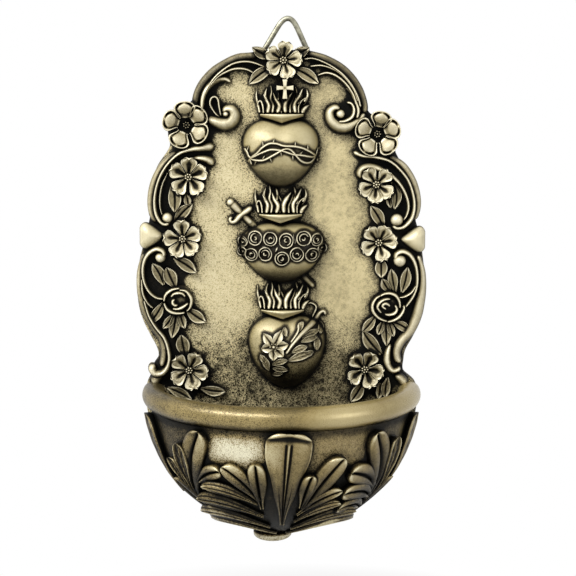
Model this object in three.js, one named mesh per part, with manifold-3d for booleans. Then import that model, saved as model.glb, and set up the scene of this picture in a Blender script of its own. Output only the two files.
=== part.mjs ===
// Wall-hung holy water stoup: an arched back plate with bonded castings, a half-round bowl and a hanger ring.
// Millimetres, +Z up, the front faces -Y and the wall lies at y = 0. Places on the face are [x, z].
import * as THREE from "three";
import { mergeVertices } from "three/addons/utils/BufferGeometryUtils.js";
import Module from "manifold-3d";

const wasm = await Module();
wasm.setup();

// Back plate
const PLATE_THICKNESS = 9;
const PLATE_EAR = 3.7;
const EDGE_STEPS = 46;
const BOND_GAP = 0.3;
const FRONT = PLATE_THICKNESS + BOND_GAP;
const LEFT_EDGE = [
  [0, 104.6], [-11, 103.5], [-21.4, 100.9], [-30.1, 95.6], [-36.3, 88.5], [-39.8, 81.8], [-46, 78.7],
  [-49.5, 73.1], [-49.8, 67.5], [-49.2, 62.2], [-54.3, 54.4], [-57, 47.4], [-58.4, 39.9], [-58.7, 32.9],
  [-60.6, 22.2], [-63.2, 11.1], [-64.3, 1.5], [-63.5, -8.5], [-61.5, -15.2], [-58.5, -21.5],
  [-55.7, -27], [-55.1, -31], [-57.6, -35.1], [-58.3, -38.7], [-60.4, -44],
];
const RIGHT_EDGE = [
  [0, 104.6], [10.7, 103.7], [20.7, 100.7], [29, 95.4], [34.2, 88.7], [37.3, 81.8], [44.8, 77],
  [50.1, 73.1], [51.4, 67.9], [50.6, 62.2], [52.6, 56.6], [58, 47.8], [59.8, 41.7], [60.5, 35.5],
  [61.6, 23.1], [63, 11.6], [64.4, 0.5], [63.7, -8.1], [61.8, -15.2], [58.5, -22.4], [55.5, -27.9],
  [54.6, -32.4], [54.7, -37.8], [60.4, -44],
];

// Bowl and rim
const BOWL_HALF_WIDTH = 58;
const BOWL_REACH = 57;
const BOWL_HEIGHT = 57;
const BOWL_WALL = 5;
const BOWL_FLOOR_LEVEL = 0.86;
const BOWL_FOOT_LEVEL = 0.975;
const RIM_Z = -47;
const RIM_RADIUS = 5;
const RIM_OVERHANG = 1.5;
const RIM_SIDES = 10;
const BOWL_TOP = RIM_Z - RIM_RADIUS * Math.cos(Math.PI / RIM_SIDES) - BOND_GAP;
const PEG_RADIUS = 1.4;
const PEG_LENGTH = 4;
const PEG_LEVEL = 0.25;
const BOSS_RADIUS = 8.5;
const BOSS_HEIGHT = 4.5;
const BOSS_X = -4;

// Flowers: centre, radius and the degrees at which one petal points; a flower sits this high above the plate,
// on the hub of its leaves
const SEAT_HEIGHT = 2.5;
const HUB_RADIUS = 4.5;
const FLOWERS = {
  crest_flower: { centre: [0.9, 99.7], radius: 8.1, petal: 5 },
  shoulder_flower_left: { centre: [-41.4, 71.8], radius: 10.3, petal: 30 },
  shoulder_flower_right: { centre: [41.9, 67.9], radius: 10.1, petal: 16 },
  upper_flower_left: { centre: [-40.6, 49.3], radius: 8.7, petal: 15 },
  upper_flower_right: { centre: [41.5, 46], radius: 7.9, petal: 49 },
  middle_flower_left: { centre: [-43.4, 22.2], radius: 8.4, petal: 25 },
  middle_flower_right: { centre: [42.7, 20.5], radius: 8.1, petal: 67 },
  lower_flower_left: { centre: [-41, -36.4], radius: 8.6, petal: 67 },
  lower_flower_right: { centre: [37, -36], radius: 8.5, petal: 68 },
};
const PETALS = 5;
const FLOWER_HEIGHT = 4.4;
const ROSES = {
  rose_left: { centre: [-45.7, -5.2], radius: 6.8 },
  rose_right: { centre: [46.6, -8.7], radius: 7.3 },
};
const ROSE_HEIGHT = 4.6;

// Leaves: the flower that they spring from, and the tip and width of each leaf
const LEAF_HEIGHT = 2.6;
const SPRAYS = {
  crest_spray: {
    at: FLOWERS.crest_flower,
    leaves: [[[-12.5, 105.2], 6], [[12.2, 105.4], 6], [[-14, 89.5], 6], [[16.1, 90.4], 6]],
  },
  upper_spray_left: { at: FLOWERS.upper_flower_left, leaves: [[[-46.9, 34.3], 6]] },
  upper_spray_right: { at: FLOWERS.upper_flower_right, leaves: [[[49.8, 35.2], 5]] },
  middle_spray_left: { at: FLOWERS.middle_flower_left, leaves: [[[-39.4, 37], 5.5], [[-38.1, 7.2], 6]] },
  middle_spray_right: { at: FLOWERS.middle_flower_right, leaves: [[[39.7, 35.9], 6], [[44.5, 5.2], 6]] },
  rose_spray_left: {
    at: ROSES.rose_left,
    leaves: [[[-53, 7.5], 6], [[-45.5, 7.5], 6], [[-57.6, -14], 5], [[-49.5, -19.5], 6], [[-34.5, -14.5], 6]],
  },
  rose_spray_right: {
    at: ROSES.rose_right,
    leaves: [[[48.2, 4.5], 6], [[56, 3.5], 6], [[36.6, -18.4], 5], [[46.8, -26], 6], [[56, -19], 5]],
  },
  lower_spray_left: {
    at: FLOWERS.lower_flower_left,
    leaves: [[[-44.3, -21.4], 6], [[-25.5, -46], 5], [[-47.5, -50], 6]],
  },
  lower_spray_right: {
    at: FLOWERS.lower_flower_right,
    leaves: [[[36.4, -21.4], 6], [[31.9, -51], 5], [[47.5, -49], 6]],
  },
};

// Scrolls: centre lines, half widths at start, middle and end, and the side that carries the high bead
const SCROLL_HEIGHT = 5.2;
const SCROLLS = {
  crest_scroll_left: {
    path: [
      [-12.7, 101.1], [-21.4, 98.3], [-29.2, 93.4], [-34.4, 86.9], [-37.1, 80.1], [-36.5, 74.9],
      [-32.8, 71.2], [-27.6, 69.7], [-22.8, 70.5], [-20.2, 74], [-20.4, 77.7], [-23.2, 79.2],
      [-25.4, 77.5],
    ],
    widths: [2.2, 2.6, 1.3], side: -1,
  },
  crest_scroll_right: {
    path: [
      [12, 101.1], [20.7, 98.1], [27.8, 93.2], [32.4, 86.9], [34.6, 80.5], [33.6, 75.3], [29.5, 71.8],
      [24.5, 72.1], [21.2, 75.5], [22.7, 79], [25.9, 78.3],
    ],
    widths: [2.2, 2.6, 1.3], side: 1,
  },
  upper_scroll_left: {
    path: [
      [-30.7, 62.5], [-37.2, 61.4], [-43.8, 59], [-49.1, 54.5], [-53.1, 47.9], [-55.2, 40.5],
      [-55.2, 33.9], [-53.3, 29.5], [-50.3, 28.2], [-48.3, 30.2], [-49.8, 31.9],
    ],
    widths: [1.4, 3.4, 1], side: -1,
  },
  upper_scroll_right: {
    path: [
      [32.6, 58.8], [39.6, 57.7], [46.1, 56.4], [51, 53.2], [54.7, 47.9], [56.8, 41.4], [57.1, 34.8],
      [55.2, 29.9], [51.7, 27.5], [48.6, 28.8], [49.9, 31.5],
    ],
    widths: [1.4, 3.4, 1], side: 1,
  },
  lower_scroll_left: {
    path: [
      [-53.3, 13.8], [-51.5, 15.4], [-53.4, 17.4], [-56.8, 16.2], [-59.7, 12.7], [-61.3, 7.8],
      [-61.8, 2], [-61.2, -4.2], [-59.3, -10.9], [-56.3, -17.2], [-53.2, -23], [-51.5, -28.4],
      [-51.8, -33.4], [-54.3, -36.1], [-56.3, -34.7],
    ],
    widths: [0.9, 2.9, 1.2], side: -1,
  },
  lower_scroll_right: {
    path: [
      [53.6, 11.8], [52, 13.8], [53.8, 15.8], [56.9, 15.1], [59.8, 11.4], [61.4, 6], [61.9, -0.2],
      [61.1, -6.9], [58.9, -13.6], [55.7, -19.9], [51.7, -25.5], [48.9, -30.2], [47.8, -34.7],
      [49.6, -38.1], [52.7, -37.2],
    ],
    widths: [0.9, 2.9, 1.2], side: 1,
  },
};
const KNOB_HEIGHT = 6;
const KNOB_HALF_WIDTH = 5.6;
const KNOBS = {
  side_knob_left: { centre: [-58.2, 23.3], towards: 1 },
  side_knob_right: { centre: [58.9, 21.6], towards: -1 },
};

// Hearts with their collars and flames
const HEART_ROUNDNESS = 2.55;
const HEART_TAPER = 0.49;
const HEART_TAPER_POWER = 2.3;
const HEARTS = {
  thorn_heart: { centre: [-0.3, 59.8], width: 35.6, height: 30.5, depth: 12 },
  rose_heart: { centre: [0.3, 16.1], width: 39, height: 27.2, depth: 12 },
  lily_heart: { centre: [2.4, -27.8], width: 36.6, height: 33.2, depth: 12 },
};
const COLLAR_HEIGHT = 7.5;
const COLLAR_DIP = 1.8;
const COLLAR_HALF_WIDTHS = [1.6, 2.8, 1.6];
const COLLARS = {
  thorn_collar: { centre: [0, 75.3], halfLength: 10 },
  rose_collar: { centre: [-0.4, 31.5], halfLength: 9.6 },
  lily_collar: { centre: [0.5, -11], halfLength: 9.8 },
};
const FLAME_HEIGHT = 5;
const FLAME_HALF_WIDTH = 1.9;
const FLAME_TONGUES = 7;
const FLAMES = {
  thorn_flames: { collar: COLLARS.thorn_collar, rise: 13.5, spread: 3 },
  rose_flames: { collar: COLLARS.rose_collar, rise: 13.5, spread: 3.5 },
  lily_flames: { collar: COLLARS.lily_collar, rise: 13.5, spread: 3.5 },
};
const CROSS = { centre: [1.4, 87.8], arm: 3.6, above: 3.4, below: 4.4, halfThick: 1.2, height: 6.5 };

// What lies over the hearts
const OVER_GAP = 0.7;
const CROWN = { z: 59.5, swing: 2.6, turns: 1.4, halfWidth: 1, thick: 2 };
const BAND = { z: 19.2, halfWidth: 4.4, thick: 1.2 };
const OVERLAY_SHARE = 0.93;
const BAND_ROSE = { radius: 2.9, height: 2.4 };
const BAND_ROSES = [
  [-11.3, 23], [-4.9, 22.8], [2.1, 22.2], [9.6, 23], [15, 22.4], [-13, 16.1], [-6.9, 16.4], [0.3, 14.6],
  [6.8, 16.4], [13.4, 16.4],
];
const LILY = {
  centre: [-3.2, -24.6], radius: 6, height: 2.6, stemHalfWidth: 0.9, stemHeight: 1.6, leafHeight: 1.8,
};
const LILY_STEM = [[-3.2, -24.6], [2.2, -27.1], [8.5, -25], [13.2, -18.5], [16.6, -10.5]];
const LILY_LEAVES = [
  [[2.2, -27.1], [6.5, -16], 4.5], [[8.5, -25], [16.4, -24.5], 4.5], [[3, -27], [13, -31.5], 4.5],
  [[-2, -27], [-6.5, -37], 4], [[0, -27], [1.5, -38.5], 4],
];

// Sword: it lies on the plate and runs through a groove in the heart's back
const SWORD = {
  pommel: [-22.7, 37.8], tip: [13.9, 0.7], pommelRadius: 2, guardShare: 0.16, guardHalf: 5, guardWidth: 1.1,
  bladeHalf: 1.3, thick: 2.2,
};

// Acanthus: leaves in bowl coordinates [degrees round the bowl, drop below the rim's middle], base to tip,
// with the width
const ACANTHUS_HEIGHT = 3;
const ACANTHUS = {
  acanthus_front: [
    [[0.5, 51], [3.6, 6.5], 20], [[-4, 49], [-25.1, 20.7], 9.4], [[-4, 49], [-10.5, 18.6], 8.8],
    [[4, 49], [13.1, 23.8], 8], [[4, 49], [26.4, 17.1], 11],
  ],
  acanthus_left: [
    [[-60, 45], [-34.2, 7], 12.4], [[-60, 43], [-47, 13.8], 8.6], [[-60, 42], [-56.5, 21.5], 7.6],
    [[-58, 44], [-26.4, 23], 7],
  ],
  acanthus_right: [
    [[64, 46], [41.4, 8.1], 12.8], [[64, 44], [55.6, 12.7], 9], [[64, 45], [31.1, 24.3], 10],
    [[64, 46], [30.7, 34.3], 9], [[64, 48], [32, 42.2], 7],
  ],
  corner_leaf_left: [[[-75, 31], [-74, 8], 18]],
  corner_leaf_right: [[[76, 29], [75, 7.5], 17]],
};

// Hanger: a wire ring in the rolled eye of a strap that is screwed into a pocket of the plate's back
const HANGER_X = 1.6;
const WIRE_RADIUS = 1.2;
const RING_HALF_WIDTH = 11.2;
const RING_RISE = 21.1;
const RING_LEAN = 1.6;
const RING_CORNER = 4.5;
const RING_APEX_BEND = 9.3;
const EYE_CLEARANCE = 0.3;
const STRAP_THICKNESS = 0.7;
const STRAP_WIDTH = 8;
const STRAP_LENGTH = 12;
const EYE_INNER = WIRE_RADIUS + EYE_CLEARANCE;
const EYE_OUTER = EYE_INNER + STRAP_THICKNESS;
const AXIS_DEPTH = EYE_OUTER + BOND_GAP;
const AXIS_Z = 101;
const POCKET_DEPTH = AXIS_DEPTH + EYE_OUTER + BOND_GAP;
const POCKET_MARGIN = 1.2;
const SCREW_DROP = 7.5;
const SCREW_RADIUS = 1.2;
const SCREW_HEAD_RADIUS = 2.2;
const SCREW_HEAD_HEIGHT = 1.2;
const SCREW_LENGTH = 4;
const SCREW_SLOT = 0.6;

const BRONZE = new THREE.MeshStandardMaterial({ color: 0xb7a46c, roughness: 0.45, metalness: 0.8 });
const STEEL = new THREE.MeshStandardMaterial({ color: 0xa9a698, roughness: 0.4, metalness: 0.9 });

// Solids

/** A manifold solid from points and triangles, turned to face outwards. */
function solidFrom(points, triangles) {
  const vertices = new Float32Array(points.flat());
  const corners = new Uint32Array(triangles.flat());
  let volume = 0;
  for (const [a, b, c] of triangles) {
    const [ax, ay, az] = points[a];
    const [bx, by, bz] = points[b];
    const [cx, cy, cz] = points[c];
    volume += ax * (by * cz - bz * cy) + ay * (bz * cx - bx * cz) + az * (bx * cy - by * cx);
  }
  if (volume < 0) {
    for (let i = 0; i < corners.length; i += 3) {
      [corners[i], corners[i + 1]] = [corners[i + 1], corners[i]];
    }
  }
  return new wasm.Manifold(new wasm.Mesh({ numProp: 3, vertProperties: vertices, triVerts: corners }));
}

/** A manifold solid from a closed three.js geometry. */
function solidOf(geometry) {
  geometry.deleteAttribute("normal");
  geometry.deleteAttribute("uv");
  const merged = mergeVertices(geometry, 1e-4);
  const vertices = new Float32Array(merged.attributes.position.array);
  const corners = new Uint32Array(merged.index.array);
  return new wasm.Manifold(new wasm.Mesh({ numProp: 3, vertProperties: vertices, triVerts: corners }));
}

/** A closed solid from a pole, rings of the same count of points, and a pole at the far end. */
function loft(points, count) {
  const triangles = [];
  const rings = (points.length - 2) / count;
  const last = points.length - 1;
  const corner = (ring, i) => 1 + ring * count + (i % count);
  for (let i = 0; i < count; i += 1) {
    triangles.push([0, corner(0, i + 1), corner(0, i)]);
    triangles.push([last, corner(rings - 1, i), corner(rings - 1, i + 1)]);
  }
  for (let ring = 0; ring < rings - 1; ring += 1) {
    for (let i = 0; i < count; i += 1) {
      const a = corner(ring, i);
      const b = corner(ring, i + 1);
      const c = corner(ring + 1, i + 1);
      const d = corner(ring + 1, i);
      triangles.push([a, b, c], [a, c, d]);
    }
  }
  return solidFrom(points, triangles);
}

/** A relief whose rings shrink from the outline to the centre while the profile [share, height] rises. */
function relief(outline, centre, profile, place) {
  const rings = [[1, 0], ...profile.slice(0, -1)];
  const at = (point, share, height) =>
    place(centre[0] + share * (point[0] - centre[0]), centre[1] + share * (point[1] - centre[1]), height);
  const points = [place(...centre, 0)];
  for (const [share, height] of rings) {
    points.push(...outline.map((point) => at(point, share, height)));
  }
  points.push(place(...centre, profile.at(-1)[1]));
  return loft(points, outline.length);
}

/** The same value at start, middle and end. */
function steady(value) {
  return [value, value, value];
}

/** The value at t on the quadratic curve through a start, a pull in the middle and an end. */
function ease([start, middle, end], t) {
  return start * (1 - t) ** 2 + 2 * middle * t * (1 - t) + end * t ** 2;
}

/** A bar along a path on the face: its section is [across, up] in shares of the half width and the height. */
function bar(path, halfWidths, heights, place, section, steps) {
  const knots = path.map(([x, z]) => new THREE.Vector3(x, 0, z));
  const curve = new THREE.CatmullRomCurve3(knots, false, "centripetal");
  const points = [];
  for (let i = 0; i <= steps; i += 1) {
    const t = i / steps;
    const { x, z } = curve.getPointAt(t);
    const along = curve.getTangentAt(t);
    const half = ease(halfWidths, t);
    const height = ease(heights, t);
    const ring = section.map(([across, up]) => {
      const aside = across * half;
      return place(x - along.z * aside, z + along.x * aside, up * height);
    });
    const pole = place(x, z, 0.4 * height);
    if (i === 0) {
      points.push(pole);
    }
    points.push(...ring);
    if (i === steps) {
      points.push(pole);
    }
  }
  return loft(points, section.length);
}

/** A block between two corners. */
function block(low, high) {
  const size = high.map((value, axis) => value - low[axis]);
  const geometry = new THREE.BoxGeometry(...size);
  geometry.translate(...low.map((value, axis) => value + size[axis] / 2));
  return solidOf(geometry);
}

/** A cylinder along Y from depth `from` to depth `to`, depths counted forward from the wall. */
function pin(radius, x, z, from, to, sides) {
  const geometry = new THREE.CylinderGeometry(radius, radius, to - from, sides);
  geometry.translate(x, -(from + to) / 2, z);
  return solidOf(geometry);
}

/** A circle of points. */
function circle(centre, radius, count, start = 0) {
  const angles = Array.from({ length: count }, (_, i) => start + (2 * Math.PI * i) / count);
  return angles.map((angle) => [centre[0] + radius * Math.cos(angle), centre[1] + radius * Math.sin(angle)]);
}

/** The outline of a leaf from base to tip, fullest beyond its middle. */
function leafOutline(base, tip, width) {
  const along = [tip[0] - base[0], tip[1] - base[1]];
  const length = Math.hypot(...along);
  const across = [-along[1] / length, along[0] / length];
  const stations = [0.15, 0.4, 0.62, 0.82];
  const side = (sign) => stations.map((t) => {
    const half = (sign * width * Math.sin(Math.PI * t ** 1.25)) / 2;
    return [base[0] + along[0] * t + across[0] * half, base[1] + along[1] * t + across[1] * half];
  });
  return [base, ...side(1), tip, ...side(-1).reverse()];
}

/** The middle of a leaf. */
function leafCentre(base, tip) {
  return [base[0] + 0.55 * (tip[0] - base[0]), base[1] + 0.55 * (tip[1] - base[1])];
}

/** An outline pushed away from its centre. */
function grow(outline, centre, by) {
  return outline.map(([x, z]) => {
    const length = Math.hypot(x - centre[0], z - centre[1]);
    return [x + ((x - centre[0]) * by) / length, z + ((z - centre[1]) * by) / length];
  });
}

// Castings on the plate: each one is trimmed to clear those that stand before it

const KEEP_OUT_HEIGHT = 40;
const standing = [];
const parts = {};

/** Puts a face point and a height above a level into space. */
function onFace(level) {
  return (x, z, height) => [x, -(FRONT + level + height), z];
}

/** The larger of the pieces that a trim leaves. */
function largest(solid) {
  return solid.decompose().sort((a, b) => b.volume() - a.volume())[0];
}

/** Trims a casting by all that stands and adds it, with the space that later castings leave it, if any. */
function addCasting(name, solid, keepOut) {
  let trimmed = solid;
  for (const other of standing) {
    trimmed = trimmed.subtract(other);
  }
  parts[name] = largest(trimmed);
  if (keepOut) {
    standing.push(keepOut);
  }
}

/** A prism over an outline, from a level above the face to in front of everything. */
function prism(outline, centre, level) {
  return relief(outline, centre, [[1, KEEP_OUT_HEIGHT], [0, KEEP_OUT_HEIGHT]], onFace(level));
}

// Bowl

/** Half width and reach of the bowl at a level from 0 at the top to 1, with an offset. */
function bowlSize(level, offset) {
  const share = (1 - Math.max(level, 0) ** 1.8) ** 0.52;
  return [BOWL_HALF_WIDTH * share + offset, BOWL_REACH * share + offset];
}

/** A half-round body with the bowl's form, offset outwards, that runs straight back past the plate's face. */
function bowlBody(offset, levels, steps, past) {
  const middleOf = (level) => [0, -(FRONT + bowlSize(level, offset)[1] / 2), BOWL_TOP - level * BOWL_HEIGHT];
  const points = [middleOf(levels[0])];
  for (const level of levels) {
    const [half, reach] = bowlSize(level, offset);
    const z = BOWL_TOP - level * BOWL_HEIGHT;
    const angles = Array.from({ length: steps - 1 }, (_, i) => Math.PI * ((i + 1) / steps - 0.5));
    const arc = angles.map((angle) => [half * Math.sin(angle), -(FRONT + reach * Math.cos(angle)), z]);
    points.push([-half, past - FRONT, z], ...arc, [half, past - FRONT, z]);
  }
  points.push(middleOf(levels.at(-1)));
  return loft(points, (points.length - 2) / levels.length);
}

/** Turns [degrees round the bowl, drop below the rim's middle] into [way round the bowl at its top, z]. */
function bowlSpot([degrees, drop]) {
  return [THREE.MathUtils.degToRad(degrees) * BOWL_HALF_WIDTH, RIM_Z - drop];
}

/** Puts [way round the bowl, z] and a height above the bowl's skin into space. */
function onBowl(way, z, height) {
  const level = Math.min((BOWL_TOP - z) / BOWL_HEIGHT, 0.99);
  const angle = way / BOWL_HALF_WIDTH;
  const [half, reach] = bowlSize(level, BOND_GAP + height);
  return [half * Math.sin(angle), -(FRONT + reach * Math.cos(angle)), z - 0.5 * level * height];
}

/** The rim: a round bar along the bowl's edge, with both ends on the plate. */
function rimBar(radius) {
  const half = BOWL_HALF_WIDTH - BOWL_WALL / 2 + RIM_OVERHANG;
  const reach = BOWL_REACH - BOWL_WALL / 2 + RIM_OVERHANG;
  const steps = 22;
  const points = [];
  for (let i = 0; i <= steps; i += 1) {
    const angle = Math.PI * (i / steps - 0.5);
    const middle = new THREE.Vector3(half * Math.sin(angle), -(FRONT + reach * Math.cos(angle)), RIM_Z);
    const outward = new THREE.Vector3(reach * Math.sin(angle), -half * Math.cos(angle), 0).normalize();
    const ring = circle([0, 0], radius, RIM_SIDES, Math.PI / RIM_SIDES - Math.PI / 2).map(([out, up]) => [
      middle.x + outward.x * out, middle.y + outward.y * out, middle.z + up,
    ]);
    if (i === 0) {
      points.push(middle.toArray());
    }
    points.push(...ring);
    if (i === steps) {
      points.push(middle.toArray());
    }
  }
  return loft(points, RIM_SIDES);
}

const OUTER_LEVELS = [0, 0.18, 0.36, 0.54, 0.7, 0.82, 0.91, BOWL_FOOT_LEVEL];
const INNER_LEVELS = [-0.1, 0.18, 0.36, 0.54, 0.7, BOWL_FLOOR_LEVEL];
const rimKeepOut = rimBar(RIM_RADIUS + BOND_GAP);
const pegX = bowlSize(PEG_LEVEL, -BOWL_WALL / 2)[0];
const pegZ = BOWL_TOP - PEG_LEVEL * BOWL_HEIGHT;
const hollow = bowlBody(-BOWL_WALL, INNER_LEVELS, 16, BOWL_WALL);

parts.bowl_rim = rimBar(RIM_RADIUS);
let shell = bowlBody(0, OUTER_LEVELS, 20, 0).subtract(hollow);
for (const sign of [-1, 1]) {
  shell = shell.add(pin(PEG_RADIUS, sign * pegX, pegZ, PLATE_THICKNESS - PEG_LENGTH, FRONT + BOWL_WALL, 12));
}
parts.bowl_shell = shell;
standing.push(rimKeepOut);

// Button under the bowl's foot
const footZ = BOWL_TOP - BOWL_FOOT_LEVEL * BOWL_HEIGHT - BOND_GAP;
const bossOutline = circle([BOSS_X, FRONT + BOSS_RADIUS], BOSS_RADIUS, 14);
const downwards = (x, depth, height) => [x, -depth, footZ - height];
const bossProfile = [[1, 0.4 * BOSS_HEIGHT], [0.75, 0.85 * BOSS_HEIGHT], [0, BOSS_HEIGHT]];
parts.bowl_boss = relief(bossOutline, [BOSS_X, FRONT + BOSS_RADIUS], bossProfile, downwards);

// Acanthus on the bowl: each leaf is a crowned blade that follows the bowl's skin
const LEAF_SECTION = [[-1, 0], [-0.6, 0.9], [0, 0.7], [0.6, 0.9], [1, 0], [0, 0]];
const bowlStanding = [rimKeepOut];
for (const [name, leaves] of Object.entries(ACANTHUS)) {
  const build = (extra) => leaves
    .map(([from, to, width]) => {
      const [base, tip] = [bowlSpot(from), bowlSpot(to)];
      const middle = leafCentre(base, tip);
      const halves = [0.15 * width + extra, 0.85 * width + extra, 0.12 * width + extra];
      const top = ACANTHUS_HEIGHT + 2 * extra;
      const place = (way, z, height) => onBowl(way, z, height + BOND_GAP - extra);
      return bar([base, middle, tip], halves, [0.8 * top, top, 1.2 * top], place, LEAF_SECTION, 7);
    })
    .reduce((first, second) => first.add(second));
  let leafGroup = build(0);
  for (const other of bowlStanding) {
    leafGroup = leafGroup.subtract(other);
  }
  parts[name] = largest(leafGroup);
  bowlStanding.push(build(BOND_GAP));
}

// Flowers and roses

/** The outline of a flower: notch, lobe, valley, lobe for each petal. */
function flowerOutline({ centre, radius, petal }, extra) {
  const shares = [0.92, 0.98, 0.66, 0.98];
  const count = PETALS * shares.length;
  return circle(centre, 1, count).map((_, i) => {
    const angle = THREE.MathUtils.degToRad(petal + (360 * i) / count);
    const reach = radius * shares[i % shares.length] + extra;
    return [centre[0] + reach * Math.cos(angle), centre[1] + reach * Math.sin(angle)];
  });
}

for (const [name, flower] of Object.entries(FLOWERS)) {
  const h = FLOWER_HEIGHT;
  const profile = [[1, 0.35 * h], [0.72, 0.75 * h], [0.34, 0.45 * h], [0.26, 0.9 * h], [0, h]];
  const solid = relief(flowerOutline(flower, 0), flower.centre, profile, onFace(SEAT_HEIGHT));
  const space = prism(flowerOutline(flower, BOND_GAP), flower.centre, SEAT_HEIGHT - BOND_GAP);
  addCasting(name, solid, space);
}
for (const [name, { centre, radius }] of Object.entries(ROSES)) {
  const h = ROSE_HEIGHT;
  const profile = [[1, 0.4 * h], [0.82, 0.8 * h], [0.6, 0.6 * h], [0.5, h], [0, 0.9 * h]];
  const solid = relief(circle(centre, radius, 16), centre, profile, onFace(SEAT_HEIGHT));
  const space = prism(circle(centre, radius + BOND_GAP, 16), centre, SEAT_HEIGHT - BOND_GAP);
  addCasting(name, solid, space);
}

// Leaf sprays: leaves joined by a hub under the flower
for (const [name, { at, leaves }] of Object.entries(SPRAYS)) {
  const hubHeight = SEAT_HEIGHT - BOND_GAP;
  const hubProfile = [[1, hubHeight], [0, hubHeight]];
  const hub = (extra) => relief(circle(at.centre, HUB_RADIUS + extra, 12), at.centre, hubProfile, onFace(0));
  const leafProfile = [[1, 0.4 * LEAF_HEIGHT], [0.6, LEAF_HEIGHT], [0, LEAF_HEIGHT]];
  const leaf = ([tip, width]) => {
    return relief(leafOutline(at.centre, tip, width), leafCentre(at.centre, tip), leafProfile, onFace(0));
  };
  const space = ([tip, width]) => {
    const centre = leafCentre(at.centre, tip);
    return prism(grow(leafOutline(at.centre, tip, width), centre, BOND_GAP), centre, -BOND_GAP);
  };
  const solid = leaves.map(leaf).reduce((a, b) => a.add(b), hub(0));
  addCasting(name, solid, leaves.map(space).reduce((a, b) => a.add(b), hub(BOND_GAP)));
}

// Knobs between the scrolls: smooth shells that point inwards
for (const [name, { centre, towards }] of Object.entries(KNOBS)) {
  const shape = (extra) => circle([0, 0], 1, 16).map(([along, across]) => {
    const half = (KNOB_HALF_WIDTH + extra) * (1 - 0.35 * along);
    return [centre[0] + towards * (KNOB_HALF_WIDTH + extra) * along, centre[1] + half * across];
  });
  const h = KNOB_HEIGHT;
  const profile = [[0.96, 0.45 * h], [0.7, 0.88 * h], [0, h]];
  addCasting(name, relief(shape(0), centre, profile, onFace(0)), prism(shape(BOND_GAP), centre, -BOND_GAP));
}

// Collars of the hearts, and the cross
const ROUND_SECTION = [[-1, 0], [-1, 0.55], [-0.45, 1], [0.45, 1], [1, 0.55], [1, 0]];
for (const [name, { centre, halfLength }] of Object.entries(COLLARS)) {
  const [x, z] = centre;
  const path = [[x - halfLength, z], [x, z - COLLAR_DIP], [x + halfLength, z]];
  const heights = [0.7 * COLLAR_HEIGHT, 1.3 * COLLAR_HEIGHT, 0.7 * COLLAR_HEIGHT];
  const solid = bar(path, COLLAR_HALF_WIDTHS, heights, onFace(0), ROUND_SECTION, 10);
  const grown = COLLAR_HALF_WIDTHS.map((half) => half + BOND_GAP);
  const ends = [[path[0][0] - BOND_GAP, z], path[1], [path[2][0] + BOND_GAP, z]];
  const space = bar(ends, grown, steady(KEEP_OUT_HEIGHT), onFace(-BOND_GAP), ROUND_SECTION, 10);
  addCasting(name, solid, space);
}
const crossOutline = (extra) => {
  const t = CROSS.halfThick + extra;
  const [a, u, d] = [CROSS.arm + extra, CROSS.above + extra, CROSS.below + extra];
  const corners = [
    [t, t], [t, u], [-t, u], [-t, t], [-a, t], [-a, -t],
    [-t, -t], [-t, -d], [t, -d], [t, -t], [a, -t], [a, t],
  ];
  return corners.map(([x, z]) => [CROSS.centre[0] + x, CROSS.centre[1] + z]);
};
const crossProfile = [[1, 0.8 * CROSS.height], [0.8, CROSS.height], [0, CROSS.height]];
const crossSolid = relief(crossOutline(0), CROSS.centre, crossProfile, onFace(0));
addCasting("small_cross", crossSolid, prism(crossOutline(BOND_GAP), CROSS.centre, -BOND_GAP));

// Sword: a straight blade with a guard and a round pommel

/** A place at a share of the sword's length, set off to one side. */
function alongSword(share, aside) {
  const [dx, dz] = [SWORD.tip[0] - SWORD.pommel[0], SWORD.tip[1] - SWORD.pommel[1]];
  const length = Math.hypot(dx, dz);
  const [x, z] = SWORD.pommel;
  return [x + dx * share - (dz * aside) / length, z + dz * share + (dx * aside) / length];
}

/** The sword, offset outwards. */
function swordBody(extra) {
  const { pommel, pommelRadius, guardShare, guardHalf, guardWidth, bladeHalf, thick } = SWORD;
  const place = onFace(-extra);
  const bladePath = [alongSword(0, 0), alongSword(0.5, 0), alongSword(1, 0)];
  const bladeHalves = [bladeHalf + extra, bladeHalf + extra, 0.5 * bladeHalf + extra];
  const blade = bar(bladePath, bladeHalves, steady(thick + extra), place, ROUND_SECTION, 4);
  const bend = guardShare + 0.02;
  const guardPath = [alongSword(bend, -guardHalf), alongSword(guardShare, 0), alongSword(bend, guardHalf)];
  const guard = bar(guardPath, steady(guardWidth + extra), steady(1.5 * thick), place, ROUND_SECTION, 6);
  const knobProfile = [[1, 0.7 * thick], [0.6, 1.5 * thick], [0, 1.6 * thick]];
  const knob = relief(circle(pommel, pommelRadius + extra, 10), pommel, knobProfile, place);
  return blade.add(guard).add(knob);
}

addCasting("sword", swordBody(0), swordBody(BOND_GAP));

// Hearts

/** Half width of a heart at a height above its centre. */
function heartHalf({ width, height }, z) {
  const down = THREE.MathUtils.clamp((height / 2 - z) / height, 0, 1);
  return (width / 2) * (1 - HEART_TAPER * down ** HEART_TAPER_POWER);
}

/** A point of the heart's plan at a share of the outline and an angle. */
function heartPoint(heart, share, angle, extra) {
  const power = 2 / HEART_ROUNDNESS;
  const bend = (value) => Math.sign(value) * Math.abs(value) ** power;
  const z = share * (heart.height / 2 + extra) * bend(Math.cos(angle));
  const x = share * (heartHalf(heart, z) + extra) * bend(Math.sin(angle));
  return [heart.centre[0] + x, heart.centre[1] + z];
}

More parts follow.
